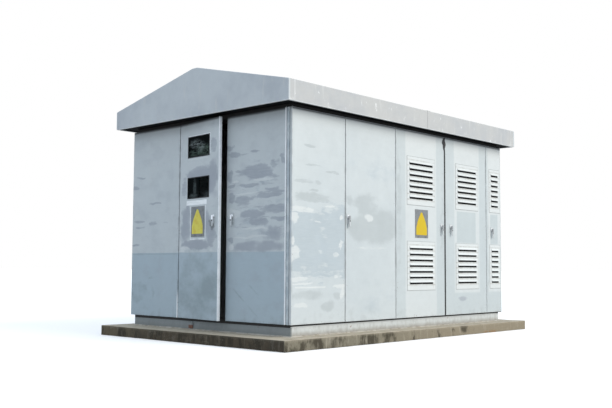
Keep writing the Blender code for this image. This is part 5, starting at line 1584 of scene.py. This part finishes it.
class KIOSK_OT_seals(KioskOperator, bpy.types.Operator):
    """Model the rubber seals: one round each doorway, and a torn strip where the louvred doors meet"""

    bl_idname = "kiosk.seals"
    bl_label = "Door seals"

    DOORWAYS = (("front_door_left", "front_door_right"), ("front_vent_door_left", "front_vent_door_right"),
                ("front_vent_door_narrow", "front_vent_door_narrow"), ("meter_door", "service_door"),
                ("rear_vent_door_left", "rear_vent_door_right"), ("rear_door_left", "rear_door_right"))
    SEAL_INSET = 0.009
    SEAL_WIDTH = 0.010
    SEAL_FRONT = 0.0258
    STRIP_LEFT = 0.0195
    STRIP_RIGHT = 0.0040
    STRIP_SHEET = 0.0014
    STRIP_TEARS = ((1.80, 0.0, 1.0), (1.83, -0.008, 1.5), (1.865, 0.004, 1.7), (1.885, -0.006, 1.5),
                   (1.915, -0.010, 1.0))

    def make(self):
        for first, last in self.DOORWAYS:
            start = LEAVES[first].start
            end = LEAVES[last].start + LEAVES[last].width
            inset = self.SEAL_INSET
            seal = ring((start + inset, self.SEAL_FRONT, inset),
                        (end - inset, FRAME_INSET - 0.0002, LEAF_HEIGHT - inset), self.SEAL_WIDTH)
            soften(seal, 0.0015)
            seal.data.transform(WALLS[LEAVES[first].wall] @ Matrix.Translation((0, 0, LEAF_BOTTOM)))
            finish_piece(seal, first + "_doorway_seal", "kiosk", finish("rubber"))
        self.add_meeting_strip()

    def add_meeting_strip(self):
        leaf = LEAVES["front_vent_door_right"]
        strip = add_block((-self.STRIP_LEFT, -self.STRIP_SHEET - 0.0004, 0.002),
                          (self.STRIP_RIGHT, -0.0004, LEAF_HEIGHT - 0.004))
        with Edit(strip, "VERT") as edit:
            for level, shift, widen in self.STRIP_TEARS:
                edit.slice((0, 0, level), (0, 0, 1))
                edit.pick(lambda vert: abs(vert.co.z - level) < EPS)
                bpy.ops.transform.translate(value=(shift, 0, 0))
                bpy.ops.transform.resize(value=(widen, 1, 1), center_override=(-SEAM, 0, level))
        strip.data.transform(leaf.place())
        finish_piece(strip, "vent_doors_meeting_strip", leaf.body, finish("rubber"))


class KIOSK_OT_windows(KioskOperator, bpy.types.Operator):
    """Model the rubber frames of the meter windows and the wire guard behind the lower one"""

    bl_idname = "kiosk.windows"
    bl_label = "Meter windows"

    FRAME_WIDTH = 0.009
    FRAME_OVERLAP = FRAME_WIDTH * 0.35
    REBATE = 0.012
    GUARD_DEPTH = 0.014
    GUARD_WIRE = 0.0046

    def make(self):
        size = sizes()
        leaf = LEAVES["meter_door"]
        edge, past = self.FRAME_WIDTH, self.FRAME_OVERLAP
        right = size.window_left + size.window_width
        bottoms = {name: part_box("meter_window_" + name)[0].z + self.REBATE - LEAF_BOTTOM
                   for name in ("lower", "upper")}
        for name, bottom in bottoms.items():
            seal = ring((size.window_left - past, -0.0035, bottom - past),
                        (right + past, 0.0026, bottom + size.window_height + past), edge)
            soften(seal, 0.0012, 2)
            seal.data.transform(leaf.place())
            finish_piece(seal, "meter_window_%s_seal" % name, leaf.body, finish("rubber"))
        self.add_guard(leaf, bottoms["lower"])

    def add_guard(self, leaf, bottom):
        size = sizes()
        deselect()
        bpy.ops.mesh.primitive_grid_add(x_subdivisions=14, y_subdivisions=8, size=1.0,
                                        rotation=(math.pi / 2, 0, 0))
        bpy.context.object.scale = (size.window_width, size.window_height, 1)
        guard = name_new("guard")
        modify(guard, "WIREFRAME", thickness=self.GUARD_WIRE, use_replace=True)
        guard.data.transform(leaf.place(size.window_left + size.window_width / 2, self.GUARD_DEPTH,
                                        bottom + size.window_height / 2))
        finish_piece(guard, "meter_window_guard", leaf.body, finish("zinc"))


def ring(low, high, width):
    """Rectangular frame in the plane of a wall, of this width between its outer and inner edge."""
    low, high = Vector(low), Vector(high)
    outer = add_block(low, high)
    hole = add_block((low.x + width, low.y - 0.01, low.z + width),
                     (high.x - width, high.y + 0.01, high.z - width))
    return cut(outer, hole)


class KIOSK_OT_signs(KioskOperator, bpy.types.Operator):
    """Model the blank sign plates, each with a plain enamel panel and four rivets"""

    bl_idname = "kiosk.signs"
    bl_label = "Blank sign plates"

    PLACES = (("meter_door", 0.219, 0.805), ("front_vent_door_left", 0.331, 0.828))

    def make(self):
        size = sizes()
        rivet = model_rivet(0.0035)
        for name, left, bottom in self.PLACES:
            leaf = LEAVES[name]
            plate = soft_block((0, -0.0024, 0), (size.sign_width, -0.0004, size.sign_height), 0.0007, 2)
            plate.data.materials.append(finish("sign_metal"))
            panel = self.model_panel()
            panel.data.materials.append(finish("sign_" + leaf.wall))
            pieces = [plate, panel]
            for x in (0.010, size.sign_width - 0.010):
                for z in (0.010, size.sign_height - 0.010):
                    head = copy_to(rivet, Matrix.Translation((x, -0.0024, z)))
                    head.data.materials.append(finish("zinc"))
                    pieces.append(head)
            sign = join("sign", *pieces)
            sign.data.transform(leaf.place(left, 0, bottom))
            finish_piece(sign, name + "_sign_plate", leaf.body)
        discard(rivet)

    def model_panel(self):
        """Enamel panel with upright lower sides that lean together above them."""
        width, height = sizes().sign_width, sizes().sign_height
        panel = add_block((width * 0.08, -0.0034, height * 0.10), (width * 0.90, -0.0022, height * 0.36))
        with Edit(panel) as edit:
            for rise, share in ((0.22, 0.74), (0.32, 0.16)):
                edit.pick(lambda face: face.normal.z > 0.9)
                edit.extrude(0, 0, height * rise)
                bpy.ops.transform.resize(value=(share, 1, 1), center_override=(width * 0.49, 0, 0))
        with Edit(panel, "EDGE") as edit:
            edit.pick(lambda edge: abs(edge.verts[0].co.y - edge.verts[1].co.y) > 0.001)
            bpy.ops.mesh.bevel(offset=0.006, segments=3, affect="EDGES")
        return panel


def model_screw(radius):
    """Hexagon screw with a washer, standing on the plane z = 0."""
    head = add_rod((0, 0, 0), (0, 0, radius * 0.7), radius * 0.62, 6)
    washer = add_rod((0, 0, -0.001), (0, 0, radius * 0.25), radius, 14)
    return join("screw", soften(washer, radius * 0.1, 2), soften(head, radius * 0.12, 1))


def fit_screw(screw, place, axis):
    """Copy of a screw at a place, turned on its side about an axis."""
    return copy_to(screw, Matrix.Translation(place) @ Matrix.Rotation(-math.pi / 2, 4, axis))


class KIOSK_OT_switchgear(KioskOperator, bpy.types.Operator):
    """Model the fronts of the ring main unit and of the low-voltage board"""

    bl_idname = "kiosk.switchgear"
    bl_label = "Switchgear fronts"

    BAYS = 3
    COVER_TOP = 0.840
    FRONT_BOTTOM = 1.150
    SIGHT_LEVELS = (1.300, 1.360)
    SIGHT_HALF = 0.045
    SHEET_TOP = 0.420
    UPPER_SHEET_BOTTOM = 1.360
    METER_SHEET_TOP = 1.560
    SHEET_SEAM = (-0.360, -0.347)
    FEEDERS = 6
    FEEDER_LEVELS = (0.560, 0.860)
    TOGGLE_LEVELS = (0.715, 0.745)
    SHROUD_LEVELS = (0.440, 0.545)
    DIALS = 3
    DIAL_START = -0.86
    DIAL_PITCH = 0.19
    DIAL_LEVEL = 1.700
    LAMP_LEVEL = 1.540

    def make(self):
        self.add_ring_main_fronts()
        self.add_board_fronts()
        self.add_feeders()
        self.add_instruments()
        self.add_meter_front()

    def add_ring_main_fronts(self):
        """Cable covers below the lever and screwed fronts with dark sight windows above it."""
        low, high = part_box("ring_main_unit")
        pitch = (high.x - low.x - 0.02) / self.BAYS
        face, half, inset = high.y, self.SIGHT_HALF, 0.018
        screw = model_screw(0.007)
        covers, panes = [], []
        for bay in range(self.BAYS):
            left = low.x + 0.015 + bay * pitch
            right = left + pitch - 0.010
            for bottom, top in ((low.z + 0.04, self.COVER_TOP), (self.FRONT_BOTTOM, high.z - 0.03)):
                covers.append(soft_block((left, face + 0.0003, bottom), (right, face + 0.006, top), 0.002))
                for x in (left + inset, right - inset):
                    for z in (bottom + inset, top - inset):
                        covers.append(fit_screw(screw, (x, face + 0.006, z), "X"))
            middle_x = (left + right) / 2
            sill, head = self.SIGHT_LEVELS
            panes.append(soft_block((middle_x - half, face + 0.0055, sill),
                                    (middle_x + half, face + 0.0085, head), 0.001))
        discard(screw)
        finish_group("ring_main_unit_fronts", "inside_paint", "inside", *covers)
        finish_group("ring_main_unit_sight_windows", "black_plastic", "plastic", *panes)

    def add_board_fronts(self):
        """Screwed front sheets of the board, above and below its breakers."""
        low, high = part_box("lv_switchboard")
        front, inset = low.x, 0.02
        screw = model_screw(0.007)
        sheets = []
        for bottom, top in ((low.z + 0.04, self.SHEET_TOP), (self.UPPER_SHEET_BOTTOM, high.z - 0.03)):
            for left, right in ((low.y + inset, self.SHEET_SEAM[0]), (self.SHEET_SEAM[1], high.y - inset)):
                if bottom == self.UPPER_SHEET_BOTTOM and right > 0:
                    top = self.METER_SHEET_TOP
                sheet = add_block((front - 0.005, left, bottom), (front - 0.0003, right, top))
                sheets.append(soften(sheet, 0.0018))
                for y in (left + inset, right - inset):
                    for z in (bottom + inset, top - inset):
                        sheets.append(fit_screw(screw, (front - 0.005, y, z), "Y"))
        discard(screw)
        finish_group("lv_switchboard_fronts", "inside_paint", "inside", *sheets)

    def add_feeders(self):
        """Row of moulded feeder breakers with toggles, and the terminal shroud below them."""
        low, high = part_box("lv_switchboard")
        front, back = low.x, low.x - 0.0003
        pitch = (high.y - low.y - 0.10) / self.FEEDERS
        cases, toggles = [], []
        for number in range(self.FEEDERS):
            left = low.y + 0.05 + number * pitch
            right = left + pitch - 0.014
            bottom, top = self.FEEDER_LEVELS
            case = add_block((front - 0.060, left, bottom), (back, right, top))
            with Edit(case) as edit:
                edit.pick(lambda face: face.normal.x < -0.9)
                bpy.ops.mesh.inset(thickness=0.012)
                edit.extrude(-0.010, 0, 0)
            cases.append(soften(case, 0.003))
            middle_y = (left + right) / 2
            bottom, top = self.TOGGLE_LEVELS
            toggles.append(soft_block((front - 0.095, middle_y - 0.016, bottom),
                                      (front - 0.069, middle_y + 0.016, top), 0.003))
        bottom, top = self.SHROUD_LEVELS
        cases.append(soft_block((front - 0.050, low.y + 0.045, bottom), (back, high.y - 0.055, top), 0.003))
        finish_group("lv_feeder_breakers", "black_plastic", "plastic", *cases)
        finish_group("lv_feeder_toggles", "meter_plastic", "meter_case", *toggles)

    def add_instruments(self):
        """Round instruments and a lamp under each of them above the main breaker."""
        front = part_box("lv_switchboard")[0].x - 0.005
        level, lamp = self.DIAL_LEVEL, self.LAMP_LEVEL
        rims, faces, lamps = [], [], []
        for number in range(self.DIALS):
            y = self.DIAL_START + number * self.DIAL_PITCH
            rim = add_rod((front + 0.004, y, level), (front - 0.018, y, level), 0.070, 40)
            with Edit(rim) as edit:
                edit.pick(lambda face: face.normal.x < -0.9)
                bpy.ops.mesh.inset(thickness=0.010)
                edit.extrude(0.006, 0, 0)
            rims.append(soften(rim, 0.0015))
            faces.append(add_rod((front - 0.0125, y, level), (front - 0.0135, y, level), 0.0595, 40))
            lamps.append(soft_rod((front + 0.004, y, lamp), (front - 0.016, y, lamp), 0.016, 24, 0.006, 4))
        finish_group("lv_instrument_rims", "black_plastic", "plastic", *rims)
        finish_group("lv_instrument_faces", "meter_plastic", "meter_case", *faces)
        finish_group("lv_lamps", "red_plastic", "red", *lamps)

    def add_meter_front(self):
        """Display window and terminal cover of the energy meter."""
        low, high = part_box("energy_meter")
        pane = soft_block((low.x - 0.0015, low.y + 0.035, high.z - 0.095),
                          (low.x + 0.002, high.y - 0.035, high.z - 0.045), 0.001)
        finish_group("energy_meter_display", "black_plastic", "plastic", pane)
        cover = add_block((low.x - 0.010, low.y + 0.006, low.z + 0.004),
                          (low.x + 0.003, high.y - 0.006, low.z + 0.070))
        screw = model_screw(0.006)
        pieces = [soften(cover, 0.003)]
        for y in (low.y + 0.03, high.y - 0.03):
            pieces.append(fit_screw(screw, (low.x - 0.010, y, low.z + 0.037), "Y"))
        discard(screw)
        finish_group("energy_meter_terminal_cover", "meter_plastic", "meter_case", *pieces)


class KIOSK_OT_tank_fittings(KioskOperator, bpy.types.Operator):
    """Model the lid bolts, lifting eyes, oil gauge and drain valve of the transformer"""

    bl_idname = "kiosk.tank_fittings"
    bl_label = "Tank fittings"

    BOLT_PITCH = 0.15
    EDGE = 0.022

    def make(self):
        low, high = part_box("transformer_lid")
        bolt = model_screw(0.013)
        fittings = []
        for x, y in self.bolt_places(low, high):
            fittings.append(copy_to(bolt, Matrix.Translation((x, y, high.z))))
        discard(bolt)
        for x in (low.x + 0.07, high.x - 0.07):
            for y in (low.y + 0.075, high.y - 0.075):
                deselect()
                bpy.ops.mesh.primitive_torus_add(
                    location=(x, y, high.z + 0.034), rotation=(math.pi / 2, 0, 0), major_radius=0.026,
                    minor_radius=0.008, major_segments=24, minor_segments=10)
                fittings.append(name_new("eye"))
                fittings.append(soft_rod((x, y, high.z), (x, y, high.z + 0.010), 0.020, 20, 0.002))
        finish_group("transformer_lid_fittings", "steel", "zinc", *fittings)
        self.add_gauge(high)
        self.add_valve()

    def bolt_places(self, low, high):
        """Even places round the edge of the lid."""
        edge = self.EDGE
        places = []
        for start, end, fixed, along_x in ((low.x, high.x, low.y, True), (low.x, high.x, high.y, True),
                                           (low.y, high.y, low.x, False), (low.y, high.y, high.x, False)):
            steps = round((end - start - 2 * edge) / self.BOLT_PITCH)
            inward = edge if fixed < 0 or fixed == low.x else -edge
            for step in range(steps if along_x else steps - 1):
                run = step + (0.5 if along_x else 1.0)
                along = start + edge + run * (end - start - 2 * edge) / steps
                places.append((along, fixed + inward) if along_x else (fixed + inward, along))
        return places

    def add_gauge(self, high):
        x, y = high.x - 0.10, 0.235
        stem = soft_rod((x, y, high.z), (x, y, high.z + 0.055), 0.018, 20, 0.002)
        bowl = soft_rod((x, y - 0.028, high.z + 0.085), (x, y + 0.028, high.z + 0.085), 0.042, 28, 0.004, 3)
        finish_group("transformer_oil_gauge", "black_plastic", "plastic", stem, bowl)

    def add_valve(self):
        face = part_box("transformer_tank")[1].x
        z = 0.330
        body = soft_rod((face - 0.004, 0.0, z), (face + 0.070, 0.0, z), 0.022, 20, 0.003)
        flange = soft_rod((face - 0.001, 0.0, z), (face + 0.010, 0.0, z), 0.042, 24, 0.002)
        stem = add_rod((face + 0.045, 0.0, z), (face + 0.045, 0.0, z + 0.062), 0.007, 12)
        deselect()
        bpy.ops.mesh.primitive_torus_add(location=(face + 0.045, 0.0, z + 0.058), major_radius=0.030,
                                         minor_radius=0.006, major_segments=24, minor_segments=8)
        wheel = name_new("wheel")
        spoke = add_rod((face + 0.015, 0.0, z + 0.058), (face + 0.075, 0.0, z + 0.058), 0.004, 8)
        finish_group("transformer_drain_valve", "steel", "zinc", body, flange, stem, wheel, spoke)


class KIOSK_OT_panel_screws(KioskOperator, bpy.types.Operator):
    """Model the domed screws that hold the fixed panels of the rear and of the far end"""

    bl_idname = "kiosk.panel_screws"
    bl_label = "Panel screws"

    PANELS = ("end_panel_front", "end_panel_rear", "rear_narrow_panel")
    ROWS = 6
    EDGE = 0.022

    def make(self):
        rivet = model_rivet(sizes().screw_radius)
        for name in self.PANELS:
            leaf = LEAVES[name]
            heads = []
            for x in (self.EDGE, leaf.width - self.EDGE):
                for row in range(self.ROWS):
                    z = 0.06 + row * (LEAF_HEIGHT - 0.12) / (self.ROWS - 1)
                    heads.append(copy_to(rivet, leaf.place(x, -0.0002, z)))
            finish_group(name + "_screws", "steel", "zinc", *heads)
        discard(rivet)


class KIOSK_OT_stage(KioskOperator, bpy.types.Operator):
    """Set the pale floor, the soft light and the camera"""

    bl_idname = "kiosk.stage"
    bl_label = "Stage"

    FLOOR_SIZE = 400.0
    FLOOR_SEEN = (0.69, 0.69, 0.69)
    FLOOR_GLOW = 0.30
    FLOOR_BOUNCE = (0.32, 0.32, 0.32)
    SKY = (0.67, 0.755, 0.86)
    SKY_STRENGTH = 1.42
    WHITE = (1.0, 1.0, 1.0)
    KEY_COLOUR = (1.0, 0.93, 0.82)
    KEY_STRENGTH = 2.62
    KEY_SPREAD = math.radians(35)
    KEY_FROM = Vector((0.30, -1.0, 0.60))

    def make(self):
        self.add_floor()
        self.add_light()
        self.add_camera()

    def end_by_ray(self, nodes, output, bounced, seen):
        """End a node tree in one shader for the camera's rays and another one for all other rays."""
        camera_ray = nodes.node("ShaderNodeLightPath", output="Is Camera Ray")
        choice = nodes.node("ShaderNodeMixShader", {}, {0: camera_ray, 1: bounced, 2: seen})
        nodes.feed(nodes.tree.nodes.new(output).inputs["Surface"], choice)

    def add_floor(self):
        deselect()
        bpy.ops.mesh.primitive_plane_add(size=self.FLOOR_SIZE)
        floor = name_new("floor")
        material = bpy.data.materials.new("floor")
        nodes = Nodes(material)
        nodes.tree.nodes.clear()
        lit = nodes.node("ShaderNodeBsdfDiffuse", {}, {"Color": self.FLOOR_SEEN})
        glow = nodes.node("ShaderNodeEmission", {}, {"Strength": self.FLOOR_GLOW})
        seen = nodes.node("ShaderNodeAddShader", {}, {0: lit, 1: glow})
        bounced = nodes.node("ShaderNodeBsdfDiffuse", {}, {"Color": self.FLOOR_BOUNCE})
        self.end_by_ray(nodes, "ShaderNodeOutputMaterial", bounced, seen)
        floor.data.materials.append(material)

    def add_light(self):
        world = bpy.data.worlds.new("studio")
        bpy.context.scene.world = world
        nodes = Nodes(world)
        nodes.tree.nodes.clear()
        sky = nodes.node("ShaderNodeBackground", {}, {"Color": self.SKY, "Strength": self.SKY_STRENGTH})
        white = nodes.node("ShaderNodeBackground", {}, {"Color": self.WHITE})
        self.end_by_ray(nodes, "ShaderNodeOutputWorld", sky, white)
        deselect()
        bpy.ops.object.light_add(type="SUN")
        key = bpy.context.object
        key.name = "key"
        key.rotation_euler = self.KEY_FROM.to_track_quat("Z", "Y").to_euler()
        key.data.energy = self.KEY_STRENGTH
        key.data.color = self.KEY_COLOUR
        key.data.angle = self.KEY_SPREAD

    def add_camera(self):
        forward = Vector((math.cos(CAMERA_PITCH) * math.cos(CAMERA_YAW),
                          math.cos(CAMERA_PITCH) * math.sin(CAMERA_YAW), math.sin(CAMERA_PITCH)))
        level = Vector((math.sin(CAMERA_YAW), -math.cos(CAMERA_YAW), 0))
        above = level.cross(forward)
        right = level * math.cos(CAMERA_ROLL) + above * math.sin(CAMERA_ROLL)
        top = above * math.cos(CAMERA_ROLL) - level * math.sin(CAMERA_ROLL)
        deselect()
        bpy.ops.object.camera_add()
        camera = bpy.context.object
        camera.matrix_world = (Matrix.Translation(CAMERA_PLACE)
                               @ Matrix((right, top, -forward)).transposed().to_4x4())
        camera.data.sensor_fit = "HORIZONTAL"
        camera.data.sensor_width = CAMERA_SENSOR
        camera.data.lens = CAMERA_LENS
        camera.data.clip_end = 500.0
        scene = bpy.context.scene
        scene.camera = camera
        scene.view_settings.view_transform = "Standard"


class KIOSK_PT_panel(bpy.types.Panel):
    """Sidebar list of the pieces and their sizes and colours"""

    bl_idname = "KIOSK_PT_panel"
    bl_label = "Transformer kiosk"
    bl_space_type = "VIEW_3D"
    bl_region_type = "UI"
    bl_category = "Kiosk"

    def draw(self, context):
        for operator in OPERATORS:
            self.layout.operator(operator.bl_idname)
        for group in (context.scene.kiosk_sizes, context.scene.kiosk_colours):
            box = self.layout.box()
            for name in group.__annotations__:
                box.prop(group, name)


OPERATORS = (KIOSK_OT_stage, KIOSK_OT_paintwork, KIOSK_OT_leaves, KIOSK_OT_equipment, KIOSK_OT_pad,
             KIOSK_OT_roof, KIOSK_OT_louvres, KIOSK_OT_handles, KIOSK_OT_backs, KIOSK_OT_seals,
             KIOSK_OT_windows, KIOSK_OT_signs, KIOSK_OT_switchgear, KIOSK_OT_tank_fittings,
             KIOSK_OT_panel_screws)
CLASSES = (KioskSizes, KioskColours, *OPERATORS, KIOSK_PT_panel)


def register():
    for item in CLASSES:
        bpy.utils.register_class(item)
    bpy.types.Scene.kiosk_sizes = bpy.props.PointerProperty(type=KioskSizes)
    bpy.types.Scene.kiosk_colours = bpy.props.PointerProperty(type=KioskColours)


def unregister():
    del bpy.types.Scene.kiosk_colours
    del bpy.types.Scene.kiosk_sizes
    for item in reversed(CLASSES):
        bpy.utils.unregister_class(item)


def main():
    register()
    for operator in OPERATORS:
        group, name = operator.bl_idname.split(".")
        getattr(getattr(bpy.ops, group), name)()
    deselect()


if __name__ == "__main__":
    main()
